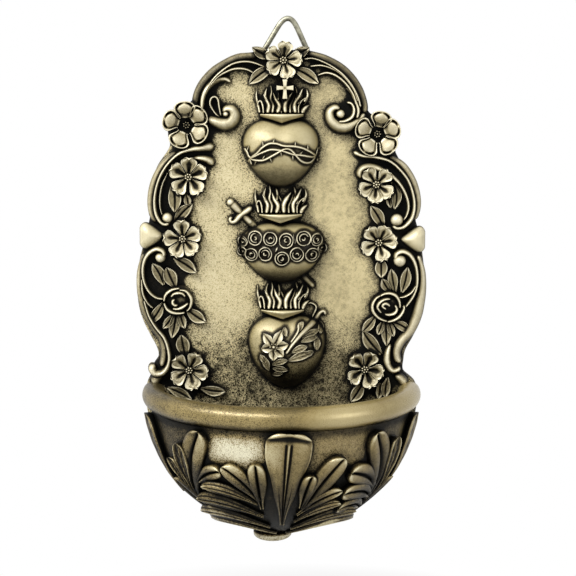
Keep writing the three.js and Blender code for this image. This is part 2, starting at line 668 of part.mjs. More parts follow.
/** Height of the heart's dome over a place on the face. */
function heartDome(heart, x, z) {
  const up = z - heart.centre[1];
  const a = Math.abs(x - heart.centre[0]) / heartHalf(heart, up);
  const b = Math.abs(up) / (heart.height / 2);
  const share = (a ** HEART_ROUNDNESS + b ** HEART_ROUNDNESS) ** (1 / HEART_ROUNDNESS);
  return heart.depth * Math.sqrt(Math.max(0, 1 - share ** 2));
}

/** The heart's body, offset outwards. */
function heartBody(heart, extra) {
  const count = 24;
  const place = onFace(-extra);
  const points = [place(...heart.centre, 0)];
  for (const share of [1, 0.97, 0.85, 0.62, 0.32]) {
    const height = (heart.depth + 2 * extra) * Math.sqrt(1 - share ** 2);
    for (let i = 0; i < count; i += 1) {
      points.push(place(...heartPoint(heart, share, (2 * Math.PI * i) / count, extra), height));
    }
  }
  points.push(place(...heart.centre, heart.depth + 2 * extra));
  return loft(points, count);
}

for (const [name, heart] of Object.entries(HEARTS)) {
  addCasting(name, heartBody(heart, 0), heartBody(heart, BOND_GAP));
}

// What lies over the hearts

/** Puts a face point and a height above a heart's dome into space. */
function onHeart(heart) {
  return (x, z, height) => [x, -(FRONT + heartDome(heart, x, z) + OVER_GAP + height), z];
}

const WIRE_SECTION = [[-1, 0], [-0.7, 0.8], [0, 1], [0.7, 0.8], [1, 0]];
const crownStrand = (phase) => {
  const heart = HEARTS.thorn_heart;
  const steps = 14;
  const path = Array.from({ length: steps + 1 }, (_, i) => {
    const share = (2 * i) / steps - 1;
    const z = CROWN.z + CROWN.swing * Math.sin(Math.PI * CROWN.turns * share + phase);
    return [heart.centre[0] + share * OVERLAY_SHARE * heartHalf(heart, z - heart.centre[1]), z];
  });
  return bar(path, steady(CROWN.halfWidth), steady(CROWN.thick), onHeart(heart), WIRE_SECTION, 18);
};
addCasting("thorn_crown", crownStrand(0).add(crownStrand(Math.PI)));

const overRoseHeart = onHeart(HEARTS.rose_heart);
const bandReach = OVERLAY_SHARE * heartHalf(HEARTS.rose_heart, BAND.z - HEARTS.rose_heart.centre[1]);
const bandPath = [[-bandReach, BAND.z], [0, BAND.z - 1], [bandReach, BAND.z]];
const STRIP_SECTION = [[-1, 0], [-1, 1], [0, 1], [1, 1], [1, 0], [0, 0]];
const bandStrip = bar(bandPath, steady(BAND.halfWidth), steady(BAND.thick), overRoseHeart, STRIP_SECTION, 12);
const band = BAND_ROSES
  .map((centre) => {
    const profile = [[1, 0.7 * BAND_ROSE.height], [0, BAND_ROSE.height]];
    return relief(circle(centre, BAND_ROSE.radius, 7), centre, profile, overRoseHeart);
  })
  .reduce((whole, rose) => whole.add(rose), bandStrip);
addCasting("rose_band", band);

const overLilyHeart = onHeart(HEARTS.lily_heart);
const lilyOutline = circle(LILY.centre, 1, 12).map(([x, z], i) => {
  const reach = LILY.radius * (i % 2 ? 0.5 : 1);
  return [LILY.centre[0] + reach * (x - LILY.centre[0]), LILY.centre[1] + reach * (z - LILY.centre[1])];
});
const lilyProfile = [[1, 0.5 * LILY.height], [0.5, LILY.height], [0, 0.8 * LILY.height]];
const lilyFlower = relief(lilyOutline, LILY.centre, lilyProfile, overLilyHeart);
const lilyLeafProfile = [[1, 0.45 * LILY.leafHeight], [0, LILY.leafHeight]];
const stemHalf = steady(LILY.stemHalfWidth);
const lilyStem = bar(LILY_STEM, stemHalf, steady(LILY.stemHeight), overLilyHeart, WIRE_SECTION, 10);
const lily = LILY_LEAVES
  .map(([base, tip, width]) => {
    return relief(leafOutline(base, tip, width), leafCentre(base, tip), lilyLeafProfile, overLilyHeart);
  })
  .reduce((whole, leaf) => whole.add(leaf), lilyStem.add(lilyFlower));
const stemSpace = steady(LILY.stemHalfWidth + BOND_GAP);
const lilySpace = bar(LILY_STEM, stemSpace, steady(KEEP_OUT_HEIGHT), onFace(0), ROUND_SECTION, 10);
addCasting("lily_spray", lily, lilySpace);

// Flames: tongues that fan out above a collar, joined at their feet
const TONGUE_SECTION = [[-1, 0], [-0.5, 0.9], [0.5, 0.9], [1, 0]];
for (const [name, { collar, rise, spread }] of Object.entries(FLAMES)) {
  const [x, z] = collar.centre;
  const h = FLAME_HEIGHT;
  const reach = 0.85 * collar.halfLength;
  const feet = [[x - reach, z + 2.6], [x, z + 2], [x + reach, z + 2.6]];
  let flames = bar(feet, steady(0.85 * FLAME_HALF_WIDTH), steady(h), onFace(0), TONGUE_SECTION, 4);
  for (let i = 0; i < FLAME_TONGUES; i += 1) {
    const share = (2 * i) / (FLAME_TONGUES - 1) - 1;
    const foot = [x + share * reach, z + 2];
    const top = [foot[0] + share * spread, z + rise * (1 - 0.3 * share ** 2) - (i % 2) * 2];
    const sway = i % 2 ? 1.2 : -1.2;
    const middle = [(foot[0] + top[0]) / 2 + sway, (foot[1] + top[1]) / 2];
    const halves = [FLAME_HALF_WIDTH, FLAME_HALF_WIDTH, 0.15 * FLAME_HALF_WIDTH];
    const heights = [h, 1.1 * h, 0.35 * h];
    flames = flames.add(bar([foot, middle, top], halves, heights, onFace(0), TONGUE_SECTION, 4));
  }
  addCasting(name, flames);
}

// Scrolls: bars with a high outer bead
for (const [name, { path, widths, side }] of Object.entries(SCROLLS)) {
  const profile = [[-1, 0], [-1, 0.75], [-0.5, 1], [0.2, 0.6], [1, 0.4], [1, 0]];
  const section = profile.map(([across, up]) => [-side * across, up]);
  const heights = [0.8 * SCROLL_HEIGHT, 1.2 * SCROLL_HEIGHT, 0.8 * SCROLL_HEIGHT];
  addCasting(name, bar(path, widths, heights, onFace(0), section, 28));
}

// Back plate with its pocket, screw hole and peg sockets
const edgeCurve = (points) => {
  const knots = points.map(([x, z]) => new THREE.Vector3(x, z, 0));
  return new THREE.CatmullRomCurve3(knots, false, "centripetal").getPoints(EDGE_STEPS);
};
const lowerEdge = (sign) => OUTER_LEVELS.map((level) => {
  const half = bowlSize(level, 0)[0] + PLATE_EAR * (1 - level) ** 6;
  return new THREE.Vector2(sign * half, BOWL_TOP - level * BOWL_HEIGHT);
});
const plateOutline = [
  ...edgeCurve(LEFT_EDGE), ...lowerEdge(-1), ...lowerEdge(1).reverse(),
  ...edgeCurve(RIGHT_EDGE).reverse().slice(0, -1),
];
const plateShape = new THREE.Shape(plateOutline.map(({ x, y }) => new THREE.Vector2(x, y)));
const plateGeometry = new THREE.ExtrudeGeometry(plateShape, { depth: PLATE_THICKNESS, bevelEnabled: false });
plateGeometry.rotateX(Math.PI / 2);
const pocketHalf = RING_HALF_WIDTH + WIRE_RADIUS + POCKET_MARGIN;
const pocketFoot = AXIS_Z - RING_RISE - WIRE_RADIUS - POCKET_MARGIN;
const screwZ = AXIS_Z - SCREW_DROP;
const screwTip = POCKET_DEPTH + SCREW_LENGTH - SCREW_HEAD_HEIGHT;
let plate = solidOf(plateGeometry)
  .subtract(block(
    [HANGER_X - pocketHalf, -POCKET_DEPTH, pocketFoot],
    [HANGER_X + pocketHalf, 1, AXIS_Z + RING_RISE],
  ))
  .subtract(pin(SCREW_RADIUS + BOND_GAP, HANGER_X, screwZ, 0, screwTip + BOND_GAP, 12));
for (const sign of [-1, 1]) {
  const socketFoot = PLATE_THICKNESS - PEG_LENGTH - BOND_GAP;
  plate = plate.subtract(pin(PEG_RADIUS + BOND_GAP, sign * pegX, pegZ, socketFoot, FRONT, 12));
}
parts.back_plate = plate;

// Hanger ring: a rounded triangle of wire whose foot runs through the eye
const ringPoint = (x, z) => new THREE.Vector3(HANGER_X + x, -AXIS_DEPTH, AXIS_Z + z);
const ringCorners = [
  [-RING_HALF_WIDTH, 0, RING_CORNER],
  [RING_HALF_WIDTH, 0, RING_CORNER],
  [RING_LEAN, RING_RISE, RING_APEX_BEND],
];
const ringPath = new THREE.CurvePath();
ringCorners.forEach((corner, i) => {
  const next = ringCorners[(i + 1) % 3];
  const after = ringCorners[(i + 2) % 3];
  const offCorner = (from, to) => {
    const [dx, dz] = [to[0] - from[0], to[1] - from[1]];
    const share = from[2] / Math.hypot(dx, dz);
    return ringPoint(from[0] + dx * share, from[1] + dz * share);
  };
  const bendStart = offCorner(next, corner);
  ringPath.add(new THREE.LineCurve3(offCorner(corner, next), bendStart));
  const bendEnd = offCorner(next, after);
  ringPath.add(new THREE.QuadraticBezierCurve3(bendStart, ringPoint(next[0], next[1]), bendEnd));
});
parts.hanger_ring = solidOf(new THREE.TubeGeometry(ringPath, 48, WIRE_RADIUS, 8, true));

// Strap: a rolled eye round the ring's foot and a tab against the pocket's floor
const eyeRod = (radius, length) => {
  const geometry = new THREE.CylinderGeometry(radius, radius, length, 16);
  geometry.rotateZ(Math.PI / 2);
  geometry.translate(HANGER_X, -AXIS_DEPTH, AXIS_Z);
  return solidOf(geometry);
};
const tabFront = AXIS_DEPTH + EYE_OUTER;
const tabBack = tabFront - STRAP_THICKNESS;
parts.hanger_strap = eyeRod(EYE_OUTER, STRAP_WIDTH)
  .add(block(
    [HANGER_X - STRAP_WIDTH / 2, -tabFront, AXIS_Z - STRAP_LENGTH],
    [HANGER_X + STRAP_WIDTH / 2, -tabBack, AXIS_Z],
  ))
  .subtract(eyeRod(EYE_INNER / Math.cos(Math.PI / 16), STRAP_WIDTH + 2))
  .subtract(pin(SCREW_RADIUS + BOND_GAP, HANGER_X, screwZ, 0, PLATE_THICKNESS, 12));

// Screw with a slotted head
const headFront = tabBack - BOND_GAP;
const headBack = headFront - SCREW_HEAD_HEIGHT;
const slot = block(
  [HANGER_X - SCREW_HEAD_RADIUS, -headBack - SCREW_SLOT, screwZ - SCREW_SLOT / 2],
  [HANGER_X + SCREW_HEAD_RADIUS, 1, screwZ + SCREW_SLOT / 2],
);
parts.hanger_screw = pin(SCREW_HEAD_RADIUS, HANGER_X, screwZ, headBack, headFront, 16)
  .add(pin(SCREW_RADIUS, HANGER_X, screwZ, headBack + SCREW_HEAD_HEIGHT / 2, screwTip, 12))
  .subtract(slot);

// Assembly
const stoup = new THREE.Group();
stoup.name = "stoup";
for (const [name, part] of Object.entries(parts)) {
  const { vertProperties, triVerts } = part.getMesh();
  const geometry = new THREE.BufferGeometry();
  geometry.setAttribute("position", new THREE.BufferAttribute(vertProperties, 3));
  geometry.setIndex(new THREE.BufferAttribute(triVerts, 1));
  geometry.computeVertexNormals();
  const mesh = new THREE.Mesh(geometry, name.startsWith("hanger") ? STEEL : BRONZE);
  mesh.name = name;
  stoup.add(mesh);
}
export default stoup;
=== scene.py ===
import bpy
import numpy as np
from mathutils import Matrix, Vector


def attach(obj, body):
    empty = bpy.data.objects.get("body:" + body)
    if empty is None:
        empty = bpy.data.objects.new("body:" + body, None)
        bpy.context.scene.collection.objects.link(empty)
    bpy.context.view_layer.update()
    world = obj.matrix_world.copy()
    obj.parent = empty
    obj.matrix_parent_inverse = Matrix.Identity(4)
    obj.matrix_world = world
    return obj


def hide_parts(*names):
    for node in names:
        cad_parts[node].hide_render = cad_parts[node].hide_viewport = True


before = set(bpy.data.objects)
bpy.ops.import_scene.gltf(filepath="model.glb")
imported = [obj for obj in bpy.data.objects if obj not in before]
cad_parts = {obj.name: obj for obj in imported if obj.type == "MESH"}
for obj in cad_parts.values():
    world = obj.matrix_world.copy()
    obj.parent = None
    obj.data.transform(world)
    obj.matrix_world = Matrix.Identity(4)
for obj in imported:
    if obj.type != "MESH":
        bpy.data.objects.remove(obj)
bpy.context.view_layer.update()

# Back plate: one arched slab of cast resin with a rounded edge, and a pocket at the back for the hanger.
# It is painted bronze over a dark wash, and its face keeps the fine grain of the mould.
# Sizes here and below are millimetres: x to the right, z up, heights counted forward from the plate's face.
PLATE_THICKNESS = 9.0
PLATE_MIDDLE = np.array([0.0, 10.0])
EDGE_ROUND = 3.0
BACK_BEVEL = 0.8
EDGE_POINTS = 640
LEFT_EDGE = [
    [0, 104.6], [-11, 103.5], [-21.4, 100.9], [-30.1, 95.6], [-36.3, 88.5], [-39.8, 81.8], [-46, 78.7],
    [-49.5, 73.1], [-49.8, 67.5], [-49.2, 62.2], [-54.3, 54.4], [-57, 47.4], [-58.2, 39.9], [-57.9, 32.9],
    [-60.4, 22.2], [-63.2, 11.1], [-64.3, 1.5], [-63.5, -8.5], [-61.5, -15.2], [-58.5, -21.5], [-55.7, -27],
    [-55.1, -31], [-57.6, -35.1], [-58.3, -38.7], [-60.4, -44],
]
RIGHT_EDGE = [
    [10.7, 103.7], [20.7, 100.7], [29, 95.4], [34.2, 88.7], [36.9, 80.4], [39.4, 76.6], [44.0, 76.6],
    [50.1, 73.1], [51.0, 67.9], [49.8, 62.2], [51.6, 57.2], [57.6, 47.8], [59.6, 41.7], [60.2, 35.5],
    [59.4, 30.0], [61.4, 23.1], [63, 11.6], [64.4, 0.5], [63.7, -8.1], [61.8, -15.2], [58.5, -22.4],
    [55.5, -27.9], [54.6, -32.4], [54.7, -37.8], [60.4, -44],
]
BOWL_HALF_WIDTH = 58.0
BOWL_REACH = 57.0
BOWL_HEIGHT = 57.0
BOWL_TOP = -52.0
EAR_LEVELS = [0.06, 0.18, 0.3, 0.42, 0.54, 0.66, 0.77, 0.86, 0.93, 0.975]
EAR_FLARE = 3.7
POCKET_LOW = [-12.0, -5.0, 77.5]
POCKET_HIGH = [15.2, 1.0, 122.1]
# Dark paint colours, shown by the wash in hollows and by painted shade.
BLACK_WASH_AND_SHADE = (0.005, 0.005, 0.004)
BROWN_WASH_AND_SHADE = (0.016, 0.013, 0.008)
FLECK_SCALE = 2600
BLOT_SCALE = 900
MOTTLE_SCALE = 480
PATCH_SCALE = 200
CLOUD_SCALE = 130
GRAIN_DEPTH = 0.0004


def flowing_line(points, count):
    """Catmull-Rom line through the points, laid out again as count points set evenly along its length."""
    knots = np.asarray(points, float)
    framed = np.vstack([2 * knots[0] - knots[1], knots, 2 * knots[-1] - knots[-2]])
    t = np.linspace(0, len(knots) - 1, 24 * (len(knots) - 1) + 1)
    span = np.minimum(t.astype(int), len(knots) - 2)
    f = (t - span)[:, None]
    a, b, c, d = framed[span], framed[span + 1], framed[span + 2], framed[span + 3]
    line = 0.5 * (2 * b + (c - a) * f + (2 * a - 5 * b + 4 * c - d) * f**2 + (3 * b - a - 3 * c + d) * f**3)
    way = np.concatenate([[0], np.cumsum(np.linalg.norm(np.diff(line, axis=0), axis=1))])
    even = np.linspace(0, way[-1], count)
    return np.stack([np.interp(even, way, line[:, k]) for k in range(line.shape[1])], axis=1)


def shell(rings):
    """Closed skin of rings (rows, columns, 3): quads between the rows, and a fan over each end row."""
    rows, cols = rings.shape[:2]
    points = np.vstack([rings[0].mean(axis=0), rings.reshape(-1, 3), rings[-1].mean(axis=0)])
    here = np.arange(cols)
    after = (here + 1) % cols
    start = 1 + cols * np.arange(rows - 1)[:, None]
    quads = np.stack([start + here, start + after, start + cols + after, start + cols + here], axis=-1)
    quads = quads.reshape(-1, 4)
    last = 1 + cols * (rows - 1)
    foot = np.stack([0 * here, 1 + after, 1 + here], axis=1)
    head = np.stack([0 * here + len(points) - 1, last + here, last + after], axis=1)
    fans = np.vstack([foot, head])
    halves = np.vstack([quads[:, [0, 1, 2]], quads[:, [0, 2, 3]], fans])
    a, b, c = (points[halves] - points.mean(axis=0)).transpose(1, 0, 2)
    if np.einsum("ij,ij->i", a, np.cross(b, c)).sum() < 0:
        quads, fans = quads[:, ::-1], fans[:, ::-1]
    return points, quads, fans


def cast(name, shells, finish, *nodes, body="casting", slot="bronze"):
    """One piece of closed skins, turned into metres, that rides a body and stands in for CAD nodes."""
    starts = np.cumsum([0] + [len(points) for points, _, _ in shells])
    points = np.concatenate([points for points, _, _ in shells]) * 0.001
    quads = np.concatenate([quads + start for (_, quads, _), start in zip(shells, starts)])
    fans = np.concatenate([fans + start for (_, _, fans), start in zip(shells, starts)])
    corners = np.concatenate([quads.ravel(), fans.ravel()])
    sides = np.concatenate([np.full(len(quads), 4), np.full(len(fans), 3)])
    mesh = bpy.data.meshes.new(name)
    mesh.vertices.add(len(points))
    mesh.vertices.foreach_set("co", points.ravel())
    mesh.loops.add(len(corners))
    mesh.loops.foreach_set("vertex_index", corners.astype(np.int32))
    mesh.polygons.add(len(sides))
    mesh.polygons.foreach_set("loop_start", (np.cumsum(sides) - sides).astype(np.int32))
    mesh.update(calc_edges=True)
    mesh.polygons.foreach_set("use_smooth", np.ones(len(sides), bool))
    mesh.materials.append(finish)
    piece = bpy.data.objects.new(name, mesh)
    bpy.context.scene.collection.objects.link(piece)
    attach(piece, body)
    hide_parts(*nodes)
    return piece


def bronze(name, gold, pale, speckle, grain, rough, metal=0.18):
    """Antique bronze paint. Its level is the piece's wear, less flecks, blots and patches where the grit is
    high, with two soft noises added; that wear also carries painted light and shade. The level runs along a
    ramp from black wash and painted shade through gold to rubbed pale edges and painted highlights, and sets
    the gloss; the flecks' noise also gives a fine bump."""
    paint = bpy.data.materials.new(name)
    paint.use_nodes = True
    nodes, links = paint.node_tree.nodes, paint.node_tree.links
    shader = nodes["Principled BSDF"]
    shader.inputs["Metallic"].default_value = metal
    place = nodes.new("ShaderNodeTexCoord")

    def marked(attribute_name):
        """The value written on the piece's points under a name."""
        node = nodes.new("ShaderNodeAttribute")
        node.attribute_name = attribute_name
        return node.outputs["Fac"]

    def noise(scale, detail):
        """Noise in the piece's own space."""
        node = nodes.new("ShaderNodeTexNoise")
        node.inputs["Scale"].default_value = scale
        node.inputs["Detail"].default_value = detail
        node.inputs["Roughness"].default_value = 0.6
        links.new(place.outputs["Object"], node.inputs["Vector"])
        return node.outputs["Fac"]

    def spread(source, low, high, to_low, to_high):
        """Stretches a range of the source to another, and stops at its ends."""
        node = nodes.new("ShaderNodeMapRange")
        sockets = ("From Min", "From Max", "To Min", "To Max")
        for socket, value in zip(sockets, (low, high, to_low, to_high)):
            node.inputs[socket].default_value = value
        links.new(source, node.inputs["Value"])
        return node.outputs["Result"]

    def joined(operation, first, second):
        """Two values put together by one operation."""
        node = nodes.new("ShaderNodeMath")
        node.operation = operation
        links.new(first, node.inputs[0])
        links.new(second, node.inputs[1])
        return node.outputs["Value"]

    fine = noise(FLECK_SCALE, 3)
    roughest = spread(marked("grit"), 0.8, 2.4, 0.0, 1.0)
    flecks = joined("MULTIPLY", spread(fine, 0.48, 0.62, 0.0, -speckle), marked("grit"))
    blots = joined("MULTIPLY", spread(noise(BLOT_SCALE, 3), 0.56, 0.68, 0.0, -0.6 * speckle), marked("grit"))
    patches = joined("MULTIPLY", spread(noise(PATCH_SCALE, 4), 0.50, 0.64, 0.0, -speckle), roughest)
    clouds = spread(noise(CLOUD_SCALE, 4), 0.3, 0.7, -0.025, 0.025)
    mottling = spread(noise(MOTTLE_SCALE, 3), 0.3, 0.7, -0.1 * grain, 0.1 * grain)
    level = marked("wear_and_painted_light")
    for layer in (flecks, blots, patches, clouds, mottling):
        level = joined("ADD", level, layer)
    ramp = nodes.new("ShaderNodeValToRGB")
    # Dark stops: wash and painted shade. Pale stop: rubbed edges and painted highlights.
    stops = [
        (0.0, BLACK_WASH_AND_SHADE), (0.20, BROWN_WASH_AND_SHADE), (0.36, tuple(0.30 * c for c in gold)), (0.50, gold),
        (0.80, pale),
    ]
    for _ in stops[2:]:
        ramp.color_ramp.elements.new(0.5)
    for element, (position, colour) in zip(ramp.color_ramp.elements, stops):
        element.position = position
        element.color = (*colour, 1.0)
    links.new(level, ramp.inputs["Fac"])
    links.new(ramp.outputs["Color"], shader.inputs["Base Color"])
    links.new(spread(level, 0.2, 0.9, rough + 0.15, rough - 0.06), shader.inputs["Roughness"])
    links.new(spread(level, 0.2, 0.6, 0.08, 0.7), shader.inputs["Specular IOR Level"])
    bump = nodes.new("ShaderNodeBump")
    bump.inputs["Strength"].default_value = grain
    bump.inputs["Distance"].default_value = GRAIN_DEPTH
    links.new(fine, bump.inputs["Height"])
    links.new(bump.outputs["Normal"], shader.inputs["Normal"])
    return paint


def bowl_share(level):
    """Share of the bowl's width that is left at a level from 0 at its top to 1 at its lowest point."""
    return (1 - np.clip(level, 0, 1) ** 1.8) ** 0.52


levels = np.array(EAR_LEVELS)
ear_x = BOWL_HALF_WIDTH * bowl_share(levels) + EAR_FLARE * (1 - levels) ** 6
ear = np.stack([ear_x, BOWL_TOP - levels * BOWL_HEIGHT], axis=1)
edge_knots = [*LEFT_EDGE, *(ear * [-1, 1]), *ear[::-1], *RIGHT_EDGE[::-1], LEFT_EDGE[0]]
plate_edge = flowing_line(edge_knots, EDGE_POINTS + 1)[:-1]
ahead = np.roll(plate_edge, -1, axis=0) - np.roll(plate_edge, 1, axis=0)
ahead /= np.linalg.norm(ahead, axis=1, keepdims=True)
inward = np.stack([-ahead[:, 1], ahead[:, 0]], axis=1)
turn = np.linspace(0, np.pi / 2, 8)
insets = np.concatenate([[BACK_BEVEL, 0.0], EDGE_ROUND * (1 - np.cos(turn))])
depths = np.concatenate([[0.0, BACK_BEVEL], PLATE_THICKNESS - EDGE_ROUND * (1 - np.sin(turn))])
edge_rings = plate_edge + insets[:, None, None] * inward
shares = np.linspace(1, 0.01, 96)[1:, None, None]
face_rings = PLATE_MIDDLE + (edge_rings[-1] - PLATE_MIDDLE) * shares
back_rings = PLATE_MIDDLE + (edge_rings[0] - PLATE_MIDDLE) * np.linspace(0.02, 1, 8)[:-1, None, None]
plan = np.concatenate([back_rings, edge_rings, face_rings])
depth = np.concatenate([np.zeros(len(back_rings)), depths, np.full(len(face_rings), PLATE_THICKNESS)])
plate_rings = np.stack([plan[..., 0], -depth[:, None] + 0 * plan[..., 0], plan[..., 1]], axis=-1)
plate_paint = bronze(
    "plate bronze", gold=(0.60, 0.505, 0.27), pale=(0.80, 0.73, 0.50), speckle=0.24, grain=0.4, rough=0.46,
)
plate = cast("back_plate_casting", [shell(plate_rings)], plate_paint, "back_plate")
low, high = np.array(POCKET_LOW), np.array(POCKET_HIGH)
square = np.array([[0, 0], [1, 0], [1, 1], [0, 1]])
pocket_rings = np.stack([np.insert(square, 1, end, axis=1) for end in (0.0, 1.0)]) * (high - low) + low
cutter = cast("pocket_cutter", [shell(pocket_rings)], plate_paint)
cut = plate.modifiers.new("pocket", "BOOLEAN")
cut.operation = "DIFFERENCE"
cut.object = cutter
cut.solver = "EXACT"
bpy.context.view_layer.update()
carved = bpy.data.meshes.new_from_object(plate.evaluated_get(bpy.context.evaluated_depsgraph_get()))
plate.modifiers.remove(cut)
plate.data = carved
bpy.data.objects.remove(cutter)
castings = [plate]

